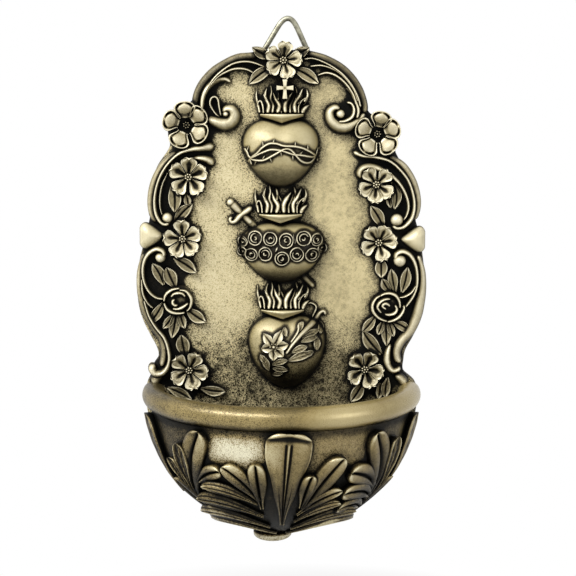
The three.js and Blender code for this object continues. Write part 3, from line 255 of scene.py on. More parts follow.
# Scrolls: six bonded castings that frame the plate, each a round outer roll with fine ridges beside it.
# They end in balls and curls; the channels between the ridges keep the dark wash.
# Each strand has its path, and its half widths and heights along the way.
SCROLLS = {
    "crest_scroll_left": [
        ([[-5.9, 103.4], [-12.7, 101.6], [-19.0, 100.4], [-24.2, 97.9], [-29.5, 94.3], [-33.7, 89.7],
          [-36.4, 84.5], [-37.4, 79.5], [-37.4, 75.5]], [1.0, 2.1, 2.4, 2.3, 1.6],
         [1.6, 3.2, 3.4, 3.4, 3.0]),
        ([[-6.4, 96.3], [-9.1, 97.6], [-13.2, 98.9], [-17.4, 99.0], [-21.6, 97.8], [-25.8, 95.0],
          [-29.5, 91.4], [-33.0, 86.0]], [0.5, 0.8, 0.8, 0.6], [2.6, 4.4, 5.4, 5.6]),
        ([[-10.9, 92.9], [-13.3, 95.0], [-16.4, 96.0], [-20.1, 96.0], [-23.7, 94.8], [-27.4, 92.5],
          [-31.0, 88.6]], [0.5, 0.8, 0.8, 0.6], [2.4, 4.0, 5.0, 5.4]),
        ([[-21.8, 90.2], [-24.3, 91.6], [-27.9, 91.4], [-31.2, 88.9], [-33.6, 85.0], [-34.4, 80.7],
          [-34.2, 76.5], [-31.7, 73.6]], [0.9, 1.9, 1.5, 1.1, 1.0], [3.0, 4.6, 5.4, 5.6, 5.2]),
        ([[-26.5, 75.0], [-28.8, 77.0], [-30.9, 80.7], [-30.4, 83.3], [-28.8, 84.0], [-27.5, 82.8],
          [-27.0, 79.7], [-26.2, 75.5]], [0.6, 0.65, 0.65, 0.6], [3.4, 4.2, 4.2, 3.6]),
        ([[-33.0, 74.8], [-29.6, 73.6], [-25.2, 72.4], [-21.9, 73.3], [-20.6, 75.9], [-21.6, 78.3],
          [-23.9, 78.6], [-25.2, 77.0]], [1.6, 2.6, 3.3, 3.3, 2.6, 1.4],
         [4.4, 5.6, 6.4, 6.4, 6.0, 5.2]),
    ],
    "crest_scroll_right": [
        ([[8.3, 103.6], [14.0, 101.9], [19.7, 99.6], [25.5, 96.2], [30.5, 91.3], [33.9, 85.8],
          [35.9, 80.3], [36.0, 76.5]], [1.0, 2.1, 2.4, 2.3, 1.6], [1.6, 3.2, 3.4, 3.4, 3.0]),
        ([[9.8, 100.2], [14.0, 100.4], [19.7, 98.2], [25.6, 94.4], [30.0, 89.6], [33.0, 84.2],
          [34.4, 79.4]], [0.5, 0.8, 0.8, 0.7], [3.0, 4.8, 5.6, 5.6]),
        ([[12.4, 97.1], [17.6, 97.4], [22.9, 95.6], [27.6, 92.0], [31.3, 87.0], [33.2, 81.7]],
         [0.5, 0.8, 0.8, 0.6], [2.6, 4.4, 5.2, 5.4]),
        ([[15.6, 93.2], [19.7, 94.3], [23.9, 93.0], [28.0, 89.6], [31.2, 84.8], [32.6, 80.2]],
         [0.5, 0.9, 0.9, 0.7], [2.4, 4.2, 5.2, 5.4]),
        ([[28.0, 88.0], [30.4, 85.7], [32.2, 82.3], [33.4, 78.1], [32.8, 74.4]], [0.6, 1.0, 1.1, 1.0],
         [2.8, 4.8, 5.6, 5.6]),
        ([[28.4, 81.7], [30.6, 80.9], [31.6, 78.4], [30.8, 75.4], [28.0, 73.6], [24.6, 73.2]],
         [0.7, 1.0, 1.1, 0.8], [4.0, 5.4, 6.0, 5.6]),
        ([[36.1, 77.0], [33.6, 73.6], [29.3, 71.4], [25.0, 71.3], [21.9, 73.7], [21.1, 77.2],
          [23.0, 79.2], [25.6, 78.9]], [1.5, 2.4, 2.9, 2.8, 2.2, 1.4], [4.6, 5.6, 6.4, 6.4, 6.0, 5.2]),
    ],
    "upper_scroll_left": [
        ([[-45.8, 60.0], [-50.8, 55.2], [-54.2, 49.6], [-56.2, 43.7], [-56.9, 38.2], [-56.5, 33.1],
          [-54.8, 29.4]], [1.4, 2.0, 2.2, 2.1, 1.6], [2.6, 3.4, 3.6, 3.4, 3.0]),
        ([[-29.4, 62.7], [-34.0, 62.0], [-40.9, 60.9], [-45.3, 58.9], [-49.6, 54.8], [-52.9, 49.5],
          [-54.8, 43.8], [-55.5, 38.3], [-54.9, 33.2], [-53.2, 29.9], [-51.1, 28.6], [-49.0, 29.2]],
         [2.6, 1.4, 0.8, 0.8, 0.8, 1.0, 1.2], [4.2, 5.0, 5.4, 5.6, 5.6, 5.6, 5.2]),
        ([[-49.6, 51.4], [-52.0, 46.1], [-53.1, 41.0], [-53.1, 36.0], [-52.2, 32.3]],
         [0.35, 0.6, 0.6, 0.4], [2.4, 4.0, 4.2, 3.4]),
        ([[-29.6, 54.6], [-31.8, 56.4], [-34.5, 57.3], [-38.0, 57.3], [-42.0, 56.2]],
         [2.4, 1.8, 1.1, 0.5], [4.0, 4.4, 4.0, 2.4]),
    ],
    "upper_scroll_right": [
        ([[47.0, 58.0], [52.4, 54.4], [56.3, 48.9], [58.7, 42.5], [59.4, 36.1], [58.2, 30.4]],
         [1.4, 2.0, 2.2, 2.1, 1.6], [2.6, 3.4, 3.6, 3.4, 3.0]),
        ([[31.4, 60.2], [35.5, 58.5], [41.0, 57.9], [46.9, 56.3], [51.3, 52.9], [55.2, 48.0],
          [57.4, 42.3], [58.2, 36.6], [57.1, 31.4], [54.2, 27.9], [51.0, 26.9], [48.6, 28.0]],
         [1.3, 1.0, 0.8, 0.8, 0.8, 0.9, 1.2, 1.2], [4.4, 5.0, 5.4, 5.6, 5.6, 5.6, 5.6, 5.2]),
        ([[34.6, 48.6], [34.6, 51.4], [36.6, 53.2], [41.0, 53.2], [46.7, 50.9], [51.2, 46.9],
          [54.3, 41.9], [55.7, 36.6], [54.8, 32.2], [52.6, 29.6]], [1.9, 2.1, 1.4, 1.0, 0.9, 0.8, 0.6],
         [4.4, 4.8, 5.0, 5.0, 5.0, 4.6, 3.6]),
    ],
    "lower_scroll_left": [
        ([[-60.2, 15.4], [-61.9, 9.2], [-62.3, 2.5], [-61.5, -4.8], [-59.3, -11.5], [-56.3, -17.0],
          [-53.0, -22.2], [-51.8, -27.0], [-52.2, -31.6], [-53.4, -35.2]],
         [1.2, 1.8, 2.0, 2.2, 2.3, 2.1, 1.8], [2.6, 3.4, 3.6, 3.6, 3.6, 3.8, 3.6]),
        ([[-53.8, 14.2], [-51.9, 14.7], [-52.3, 16.7], [-55.0, 17.6], [-58.0, 16.0], [-60.2, 12.6],
          [-61.0, 7.9], [-60.3, 2.8], [-58.2, -1.4], [-55.2, -3.9], [-51.9, -4.6]],
         [1.3, 1.5, 1.1, 0.9, 0.8, 0.8, 0.6], [5.2, 5.6, 5.6, 5.6, 5.4, 5.0, 4.0]),
        ([[-61.6, 4.5], [-61.0, -2.0], [-59.0, -6.4], [-56.6, -8.8]], [0.5, 0.7, 0.7, 0.5],
         [4.6, 5.4, 4.8, 3.4]),
        ([[-60.6, -5.0], [-58.4, -12.0], [-55.4, -17.2], [-51.9, -21.7], [-50.2, -26.6], [-49.7, -31.5],
          [-50.8, -35.2], [-53.0, -37.6], [-56.0, -37.8], [-57.4, -35.6], [-56.4, -33.6]],
         [0.5, 0.7, 0.8, 0.9, 1.0, 1.2, 2.0, 2.2], [5.2, 5.6, 5.6, 5.6, 5.6, 5.8, 6.2, 6.2]),
        ([[-52.6, -38.6], [-55.4, -40.2], [-57.0, -43.2]], [1.8, 2.3, 2.6], [3.6, 4.2, 4.4]),
    ],
    "lower_scroll_right": [
        ([[60.2, 14.8], [61.8, 8.0], [62.1, 1.4], [61.5, -4.8], [59.9, -12.2], [56.9, -18.9],
          [53.0, -23.6], [51.2, -27.7], [51.4, -31.1], [52.8, -33.2]],
         [1.2, 1.9, 2.2, 2.5, 2.5, 2.3, 1.8], [2.6, 3.6, 4.2, 4.6, 4.8, 4.8, 4.4]),
        ([[52.8, 12.4], [50.6, 13.4], [50.9, 15.5], [53.3, 16.5], [56.5, 15.0], [58.8, 11.2],
          [59.8, 6.2], [59.6, 1.0], [58.0, -3.5], [54.8, -8.4]], [1.3, 1.6, 1.2, 0.9, 0.8, 0.8, 0.6],
         [5.2, 5.6, 5.6, 5.6, 5.4, 5.0, 3.6]),
        ([[59.4, 1.6], [57.3, -1.6], [54.3, -3.5], [51.6, -4.0]], [0.5, 0.7, 0.7, 0.4],
         [4.8, 4.8, 4.4, 3.2]),
        ([[48.2, -24.6], [46.9, -29.6], [47.2, -33.9], [49.2, -36.5], [51.6, -36.2], [52.4, -34.8]],
         [1.0, 1.7, 1.9, 1.7, 1.2], [3.4, 5.0, 5.4, 5.2, 4.6]),
        ([[50.6, -38.6], [53.0, -40.4], [55.4, -43.4]], [1.8, 2.2, 2.6], [3.6, 4.2, 4.4]),
    ],
}
SCROLL_BALLS = {
    "crest_scroll_left": [[-24.0, 76.6, 1.5]],
    "crest_scroll_right": [[25.6, 76.6, 2.0]],
    "upper_scroll_left": [[-50.0, 31.4, 2.3]],
    "upper_scroll_right": [[50.6, 30.4, 2.8]],
    "lower_scroll_left": [[-53.2, 14.0, 2.3]],
    "lower_scroll_right": [[52.0, 12.6, 2.8]],
}
BALL_RISE = 5.0
BALL_FOOT = -1.0
SINK = 0.3


def on_face(x, z, height):
    """Puts places on the plate's face, and heights above it, into space."""
    return np.stack([x, -(PLATE_THICKNESS + height), z + 0 * x], axis=-1)


def strand(path, halves, heights, place, steps=90, crown=1.0):
    """A bar laid along a line. Its section is half an ellipse on a short foot, flatter for a crown below
    one; half width and height run through the listed values, and both ends round off in a quarter circle."""
    line = flowing_line(path, steps)
    ahead = np.gradient(line, axis=0)
    ahead /= np.linalg.norm(ahead, axis=1, keepdims=True)
    t = np.linspace(0, 1, steps)
    half = np.interp(t, np.linspace(0, 1, len(halves)), halves)
    height = np.interp(t, np.linspace(0, 1, len(heights)), heights)
    length = np.linalg.norm(np.diff(line, axis=0), axis=1).sum()
    from_end = np.clip(np.minimum(t, 1 - t) * length / (1.2 * half), 0.002, 1)
    taper = np.sqrt(1 - (1 - from_end) ** 2)
    angle = np.linspace(0, np.pi, 17)
    across = np.concatenate([-np.cos(angle), [0.0]])
    up = np.concatenate([np.sin(angle) ** crown, [0.0]])
    aside = across * (half * taper)[:, None]
    x = line[:, :1] - ahead[:, 1:] * aside
    z = line[:, 1:] + ahead[:, :1] * aside
    return shell(place(x, z, up * (height * (0.5 + 0.5 * taper))[:, None] - SINK))


def bead(x, z, radius, low, high, place):
    """An egg that stands on its end: a circle of the radius swept up from height low to height high."""
    rise = np.linspace(0, np.pi, 17)[1:-1, None]
    round_about = np.linspace(0, 2 * np.pi, 25)[None, :-1]
    flat = radius * np.sin(rise)
    height = (low + high) / 2 - (high - low) / 2 * np.cos(rise) + 0 * round_about
    return shell(place(x + flat * np.cos(round_about), z + flat * np.sin(round_about), height))


cast_paint = bronze(
    "casting bronze", gold=(0.30, 0.25, 0.13), pale=(0.83, 0.76, 0.54), speckle=0.08, grain=0.25, rough=0.42,
)
for name, strands in SCROLLS.items():
    skins = [strand(path, halves, heights, on_face) for path, halves, heights in strands]
    for x, z, radius in SCROLL_BALLS[name]:
        skins.append(bead(x, z, radius, BALL_FOOT, BALL_RISE + radius / 2, on_face))
    castings.append(cast(name + "_casting", skins, cast_paint, name))

# Knobs: two smooth shell-like castings between the scrolls, bonded to the plate with the point inwards.
# Their outer sides are straight, and their crowns are rubbed nearly bare of the dark wash.
KNOBS = {"side_knob_left": [-58.0, 23.4, 1], "side_knob_right": [58.9, 21.8, -1]}
KNOB_HALF_LENGTH = 5.7
KNOB_HALF_HEIGHT = 5.2
KNOB_RISE = 6.0
knob_paint = bronze(
    "rubbed bronze", gold=(0.56, 0.49, 0.29), pale=(0.80, 0.73, 0.51), speckle=0.08, grain=0.15, rough=0.42,
)
for name, (x, z, towards) in KNOBS.items():
    share = np.concatenate([[1.0], np.sin(np.linspace(np.pi / 2, 0.02, 22))])[:, None]
    crown = np.concatenate([[-SINK], KNOB_RISE * np.cos(np.linspace(np.pi / 2, 0.02, 22)) ** 0.8])[:, None]
    angle = np.linspace(0, 2 * np.pi, 49)[None, :-1]
    point = np.maximum(np.cos(angle) * (1 + 0.12 * np.cos(angle)), -0.78)
    width = np.sin(angle) * (0.95 - 0.48 * np.cos(angle)) * (1 + 0.1 * np.sin(angle) ** 2)
    plan_x = x + towards * KNOB_HALF_LENGTH * share * point
    plan_z = z + KNOB_HALF_HEIGHT * share * width
    knob = shell(on_face(plan_x, plan_z, crown + 0 * plan_x))
    castings.append(cast(name + "_casting", [knob], knob_paint, name))

# Leaf sprays: thin cast leaves bonded to the plate under the flowers and roses.
# They have a bead along each edge and a cut down the middle, and a hub under each flower joins them.
# Each line is base, tip, width and how far the leaf bends aside.
SPRAYS = {
    "crest_spray": [[0.9, 99.9], [
        ([-3.5, 101.0], [-12.6, 105.2], 4.9, 0.6), ([3.5, 101.6], [12.2, 105.1], 4.9, -0.5),
        ([-3.4, 97.0], [-14.0, 89.6], 5.4, -0.6), ([5.2, 96.4], [16.1, 89.8], 5.6, 0.6),
    ]],
    "upper_spray_left": [[-40.6, 49.4], [
        ([-47.6, 46.2], [-46.8, 34.0], 6.0, 0.5), ([-41.7, 41.6], [-40.6, 36.6], 3.4, 0),
    ]],
    "upper_spray_right": [[41.6, 46.0], [
        ([48.6, 47.2], [49.6, 35.2], 4.6, 1.4), ([46.6, 41.5], [47.8, 35.8], 2.8, 0),
    ]],
    "middle_spray_left": [[-43.4, 22.2], [
        ([-47.0, 29.0], [-39.0, 37.5], 5.2, 0.5), ([-47.4, 13.6], [-37.5, 7.2], 5.6, 0.4),
    ]],
    "middle_spray_right": [[42.7, 20.6], [
        ([44.9, 27.0], [39.2, 36.6], 5.6, -0.4), ([44.0, 13.6], [44.0, 5.0], 5.8, 0),
    ]],
    "rose_spray_left": [[-45.6, -4.6], [
        ([-52.0, 1.6], [-56.8, 11.2], 5.4, -0.6), ([-46.9, 0.6], [-50.6, 9.4], 6.4, 0.2),
        ([-52.4, -6.4], [-58.0, -15.0], 4.8, 0.4), ([-46.4, -10.0], [-48.6, -22.0], 5.0, 0.2),
        ([-47.6, -11.4], [-52.4, -17.6], 4.0, 0.3), ([-44.8, -10.6], [-42.8, -17.6], 4.0, -0.3),
        ([-42.0, -9.0], [-33.6, -14.8], 5.6, -0.4),
    ]],
    "rose_spray_right": [[46.4, -7.8], [
        ([48.0, -1.4], [44.4, 4.4], 4.2, 0.3), ([50.3, -1.4], [48.4, 8.8], 4.6, 0.2),
        ([53.2, -1.8], [55.6, 9.6], 5.0, -0.4), ([41.6, -12.4], [35.8, -19.2], 4.6, 0.3),
        ([46.0, -14.2], [46.5, -25.4], 4.6, 0.2), ([44.6, -15.0], [42.6, -20.4], 3.6, 0.2),
        ([47.6, -15.0], [49.8, -21.2], 3.6, -0.2), ([49.6, -15.0], [56.8, -18.9], 4.4, 0.4),
    ]],
    "lower_spray_left": [[-41.0, -36.4], [
        ([-42.6, -30.4], [-44.4, -20.6], 6.4, 0.2), ([-36.0, -44.8], [-25.0, -46.0], 4.8, -0.6),
        ([-50.8, -44.6], [-40.0, -49.8], 4.8, 0.4),
    ]],
    "lower_spray_right": [[37.0, -36.2], [
        ([44.4, -29.4], [36.0, -19.0], 6.2, 0.5), ([36.2, -42.4], [31.0, -50.6], 5.6, 0.4),
        ([47.4, -40.0], [46.2, -48.8], 4.4, -0.4), ([43.8, -42.2], [43.2, -49.4], 3.6, 0.3),
    ]],
}
LEAF_RISE = 3.6
HUB_RADIUS = 4.5
HUB_RISE = 2.2
UNDERSIDE = [0.6, 0.0, -0.6]


def swelling(u):
    """Half width of a leaf from base to tip: a sine that is fullest beyond the middle."""
    return np.sin(np.pi * (0.05 + 0.93 * u**1.15)) ** 0.85


def puffed(u, v):
    """Height of a spray leaf: two puffed halves that meet in a cut, a bead along each edge, a lifted tip."""
    halves = 0.16 * np.sqrt(np.clip(1 - (2 * np.abs(v) - 1) ** 2, 0, 1))
    cut = 0.22 * np.exp(-((v / 0.12) ** 2)) * (1 - 0.5 * u)
    bead_line = 0.2 * np.exp(-(((np.abs(v) - 0.88) / 0.1) ** 2))
    return (0.56 + halves + bead_line - cut) * (0.75 + 0.4 * u)


def leaf(base, tip, width, bend, place, rise, form, swell=swelling, rows=34, columns=35):
    """A blade from base to tip: u runs along a line that bends aside as a sine, and v across it. The swell
    gives the half width, the form the height of its top, and its sides stand straight on the ground."""
    base, tip = np.array(base, float), np.array(tip, float)
    along = tip - base
    aside = np.array([-along[1], along[0]]) / np.linalg.norm(along)
    u = np.linspace(0, 1, rows)[:, None]
    v = np.linspace(-1, 1, columns)[None, :]
    across = np.concatenate([v, [UNDERSIDE]], axis=1)
    off = width / 2 * swell(u) * across + bend * np.sin(np.pi * u)
    x = base[0] + along[0] * u + aside[0] * off
    z = base[1] + along[1] * u + aside[1] * off
    top = rise * form(u, v)
    height = np.concatenate([top, np.full((rows, len(UNDERSIDE)), -SINK)], axis=1)
    return shell(place(x, z, height))


for name, (hub, leaves) in SPRAYS.items():
    skins = [bead(*hub, HUB_RADIUS, -HUB_RISE, HUB_RISE, on_face)]
    skins += [leaf(base, tip, width, bend, on_face, LEAF_RISE, puffed) for base, tip, width, bend in leaves]
    castings.append(cast(name + "_casting", skins, cast_paint, name))

# Flowers: nine five-petalled castings, seated on the hubs of the sprays or over the scrolls.
# The notched petals have a hollow and lifted edges; the two at the shoulders have a full belly inside a rim.
# Each line is the middle, the radius, the petals' angles and how deep they are pressed.
FLOWERS = {
    "crest_flower": [[0.9, 99.7], 8.2, [82, 6, -71, -143, 149], 0.0],
    "upper_flower_left": [[-40.6, 49.3], 8.7, [86, 21, -52, -132, 152], 0.8],
    "upper_flower_right": [[41.5, 46.0], 8.1, [124, 47, -34, -95, -159], 0.3],
    "middle_flower_left": [[-43.4, 22.2], 8.5, [93, 22, -47, -116, 175], 0.3],
    "middle_flower_right": [[42.7, 20.5], 8.2, [129, 65, 9, -73, -156], 0.2],
    "lower_flower_left": [[-41.0, -36.4], 8.7, [138, 63, -6, -74, -148], 0.2],
    "lower_flower_right": [[37.0, -36.0], 8.5, [133, 65, -8, -67, -145], 0.8],
}
SHOULDER_FLOWERS = {
    "shoulder_flower_left": [[-41.4, 71.8], 10.4, [94, 37, -31, -115, 163], 1.0],
    "shoulder_flower_right": [[41.9, 67.9], 10.2, [78, 20, -47, -127, 158], 1.0],
}
FLOWER_SEAT = 2.2
PETAL_RISE = 4.2
PETAL_FOOT = 0.6
NOTCHED_HALF = 0.41
PILLOWED_HALF = 0.46
NOTCHED_BUTTON = 0.56
PILLOWED_BUTTON = -0.1
BUTTON_RADIUS = 1.5
BUTTON_INSET = 0.5
STAMENS = 7
STAMEN_RADIUS = 0.42
STAMEN_LENGTH = 1.4
STAMEN_CIRCLE = 0.8
PISTIL_RADIUS = 0.5
PISTIL_LIFT = 0.2


def smooth(t):
    """Smooth step: nothing below 0, one above 1, and 3t^2 - 2t^3 between."""
    t = np.clip(t, 0, 1)
    return t * t * (3 - 2 * t)


def notched(u, v, deep):
    """A notched petal in shares of its length, half width and rise: it widens to near its end, is drawn in
    at the notch and the corners, and cups up to a thin rim round a hollow from the flower's middle."""
    out = (0.12 + 0.88 * u) * (1 - 0.13 * u**6 * np.exp(-((v / 0.32) ** 2)) - 0.10 * u**3 * v**6)
    blunt = np.sqrt(1 - 0.6 * (np.clip(u - 0.72, 0, 1) / 0.28) ** 2)
    side = v * (0.22 + 0.78 * smooth(u / 0.72)) * blunt
    edge = np.minimum(1 - np.abs(v), 2.2 * (1 - u))
    hollow_width = (0.12 + 0.16 * np.sin(np.pi * np.clip(u / 0.85, 0, 1))) * (1 + 0.8 * deep)
    run_out = np.clip((0.85 + 0.08 * deep - u) / 0.35, 0, 1)
    hollow = (0.24 + 0.2 * deep) * np.exp(-((v / hollow_width) ** 2)) * run_out
    rim = 0.2 * np.exp(-((edge / 0.14) ** 2)) * (1 - 0.8 * u**8 * v**8)
    belly = 0.12 * (1 - v**2) * smooth(u / 0.5) * smooth((1 - u) / 0.3)
    return out, side, 0.16 + 0.56 * u + rim + belly - hollow


def pillowed(u, v, deep):
    """A shoulder petal in the same shares: a broad round lobe with a thin rim and a full belly, and a thin
    crescent pressed in behind the rim at each outer corner."""
    beyond = np.clip(u - 0.56, 0, 1) / 0.445
    lobe = v * np.sqrt(1 - beyond**2)
    edge = 1 - np.hypot(lobe, beyond)
    rim = 0.22 * np.exp(-(((edge - 0.07) / 0.09) ** 2))
    belly = 0.34 * np.clip(1 - (1 - edge) ** 2, 0, 1) * smooth(u / 0.6)
    corner = np.exp(-(((np.arctan2(beyond, np.abs(lobe) + 1e-6) - 0.7) / 0.6) ** 2))
    crescent = 0.6 * deep * np.exp(-(((edge - 0.27) / 0.1) ** 2)) * corner
    side = lobe * (0.46 + 0.54 * smooth(u / 0.55))
    return 0.3 + 0.7 * u + 0 * v, side, 0.26 + 0.42 * u**0.8 + rim + belly - crescent


def petal(centre, angle, length, half, form, deep):
    """One petal: u runs out from the flower's middle, v across; the form gives its plan and height."""
    u = 1 - (1 - np.linspace(0, 1, 40)[:, None]) ** 1.6
    v = np.concatenate([np.linspace(-1, 1, 41), UNDERSIDE])[None, :]
    out, side, rise = form(u, v, deep)
    turn = np.radians(angle)
    x = centre[0] + length * out * np.cos(turn) - half * side * np.sin(turn)
    z = centre[1] + length * out * np.sin(turn) + half * side * np.cos(turn)
    height = FLOWER_SEAT + PETAL_RISE * rise
    height[:, -len(UNDERSIDE):] = PETAL_FOOT
    return shell(on_face(x, z, height))


for name, (centre, radius, angles, deep) in [*FLOWERS.items(), *SHOULDER_FLOWERS.items()]:
    if name in FLOWERS:
        form, half_share, button = notched, NOTCHED_HALF, NOTCHED_BUTTON
    else:
        form, half_share, button = pillowed, PILLOWED_HALF, PILLOWED_BUTTON
    skins = [petal(centre, angle, radius, radius * half_share, form, deep) for angle in angles]
    top = FLOWER_SEAT + PETAL_RISE * button
    skins.append(bead(*centre, BUTTON_RADIUS, BUTTON_INSET, top - BUTTON_INSET, on_face))
    for angle in np.linspace(0, 2 * np.pi, STAMENS + 1)[:-1]:
        towards = np.array([np.cos(angle), np.sin(angle)])
        spot = np.array(centre) + BUTTON_RADIUS * STAMEN_CIRCLE * towards
        skins.append(bead(*spot, STAMEN_RADIUS, top - STAMEN_LENGTH, top, on_face))
    skins.append(bead(*centre, PISTIL_RADIUS, top - STAMEN_LENGTH, top + PISTIL_LIFT, on_face))
    castings.append(cast(name + "_casting", skins, cast_paint, name))

# Roses: two castings seated on their own leaves, each a low dome under curled petals.
# Lines run along the petals' bright edges, from the flower's middle; later ones lie nearer the heart of it.
ROSES = {
    "rose_left": [[-45.6, -4.6], [
        [[-6.3, -1.2], [-5.7, 1.4], [-4.3, 3.1], [-2.2, 4.3], [0.8, 4.9]],
        [[0.4, 4.2], [3.4, 3.6], [5.3, 1.4], [5.9, -0.8], [5.2, -3.7], [3.6, -5.4]],
        [[-6.2, -1.6], [-5.3, -3.7], [-4.3, -4.9], [-2.0, -6.0], [1.0, -6.2], [3.0, -5.8]],
        [[-2.4, -4.2], [0.4, -4.1], [2.6, -3.1], [4.5, -1.6]],
        [[-3.1, 1.1], [-1.8, 2.4], [0.4, 2.9], [2.2, 2.5], [3.3, 1.1]],
        [[-1.3, 0.2], [-2.2, -0.6], [-2.2, -1.6], [-1.4, -2.5], [0.0, -2.5]],
    ]],
    "rose_right": [[46.5, -8.0], [
        [[-2.7, 5.1], [-4.8, 3.6], [-6.2, 0.9], [-6.0, -1.8], [-4.4, -4.2], [-2.2, -5.7], [0.4, -6.5]],
        [[-3.0, 4.8], [-1.0, 5.8], [1.4, 6.0], [3.6, 5.2], [5.1, 3.4], [5.8, 1.2], [5.8, -0.6]],
        [[7.5, 0.8], [7.6, -0.8], [6.7, -2.9], [4.9, -4.9], [2.6, -6.1], [0.2, -6.7]],
        [[1.6, 3.6], [-0.4, 3.5], [-2.4, 2.6], [-3.7, 1.2], [-4.0, -0.4], [-2.4, -2.7]],
        [[3.6, 1.0], [4.4, -0.8], [3.9, -2.2], [2.6, -3.1], [0.8, -3.4], [-0.9, -3.1]],
        [[-0.2, -0.9], [-1.6, 0.0], [-1.9, 0.8], [-1.0, 1.6], [0.2, 1.4], [1.5, 0.3]],
    ]],
}
ROSE_DOME_RADIUS = 6.4
ROSE_DOME_RISE = 2.4
PETAL_EDGE = [0.45, 0.75, 0.9, 0.75, 0.45]
PETAL_EDGE_RISES = [4.6, 6.2]
PETAL_EDGE_FALL = 0.5
for name, (centre, lines) in ROSES.items():
    skins = [bead(*centre, ROSE_DOME_RADIUS, -ROSE_DOME_RISE, ROSE_DOME_RISE, on_face)]
    for line, rise in zip(lines, np.linspace(*PETAL_EDGE_RISES, len(lines))):
        heights = [rise - PETAL_EDGE_FALL, rise, rise - PETAL_EDGE_FALL]
        skins.append(strand(np.array(centre) + line, PETAL_EDGE, heights, on_face, crown=0.55))
    castings.append(cast(name + "_casting", skins, cast_paint, name))

# Hearts: three puffed castings one above another down the middle of the plate, bonded by their flat backs.
# Their crowns are smooth and rubbed to gold, and their lower sides are darkened as painted shade.
# Each line is the middle, the width, the height and the depth.
HEARTS = {
    "thorn_heart": [[-0.3, 59.8], 35.6, 30.5, 12.0],
    "rose_heart": [[0.3, 16.1], 39.0, 27.2, 12.0],
    "lily_heart": [[2.4, -27.8], 36.6, 33.2, 12.0],
}
HEART_ROUNDNESS = 2.55
HEART_TAPER = 0.49
HEART_TAPER_POWER = 2.3
CLEFT_DEPTH = 1.3
CLEFT_WIDTH = 3.5


def heart_half(heart, up):
    """Half width of a heart at a height from its centre: it draws in by a power of the way down."""
    _, width, height, _ = heart
    down = np.clip((height / 2 - up) / height, 0, 1)
    return width / 2 * (1 - HEART_TAPER * down**HEART_TAPER_POWER)


def heart_dome(heart, x, z):
    """Height of a heart's crown over a place: half an ellipsoid over its outline, less a shallow cleft."""
    centre, _, height, depth = heart
    up = z - centre[1]
    a = np.abs(x - centre[0]) / heart_half(heart, up)
    b = np.abs(up) / (height / 2)
    share = (a**HEART_ROUNDNESS + b**HEART_ROUNDNESS) ** (1 / HEART_ROUNDNESS)
    at_middle = np.exp(-(((x - centre[0]) / CLEFT_WIDTH) ** 2))
    cleft = CLEFT_DEPTH * at_middle * np.clip(up / (height / 2), 0, 1) ** 1.5
    return depth * np.sqrt(np.clip(1 - share**2, 0, None)) - cleft


heart_paint = bronze(
    "heart bronze", gold=(0.37, 0.305, 0.145), pale=(0.72, 0.64, 0.39), speckle=0.14, grain=0.15, rough=0.40,
    metal=0.22,
)
for name, heart in HEARTS.items():
    centre, _, height, _ = heart
    share = np.concatenate([[1.0], np.sin(np.linspace(np.pi / 2, 0.03, 46))])[:, None]
    angle = np.linspace(0, 2 * np.pi, 145)[None, :-1]
    power = 2 / HEART_ROUNDNESS
    up = share * height / 2 * np.sign(np.cos(angle)) * np.abs(np.cos(angle)) ** power
    x = centre[0] + share * heart_half(heart, up) * np.sign(np.sin(angle)) * np.abs(np.sin(angle)) ** power
    crown = heart_dome(heart, x, centre[1] + up)
    crown[0] = -SINK
    castings.append(cast(name + "_casting", [shell(on_face(x, centre[1] + up, crown))], heart_paint, name))

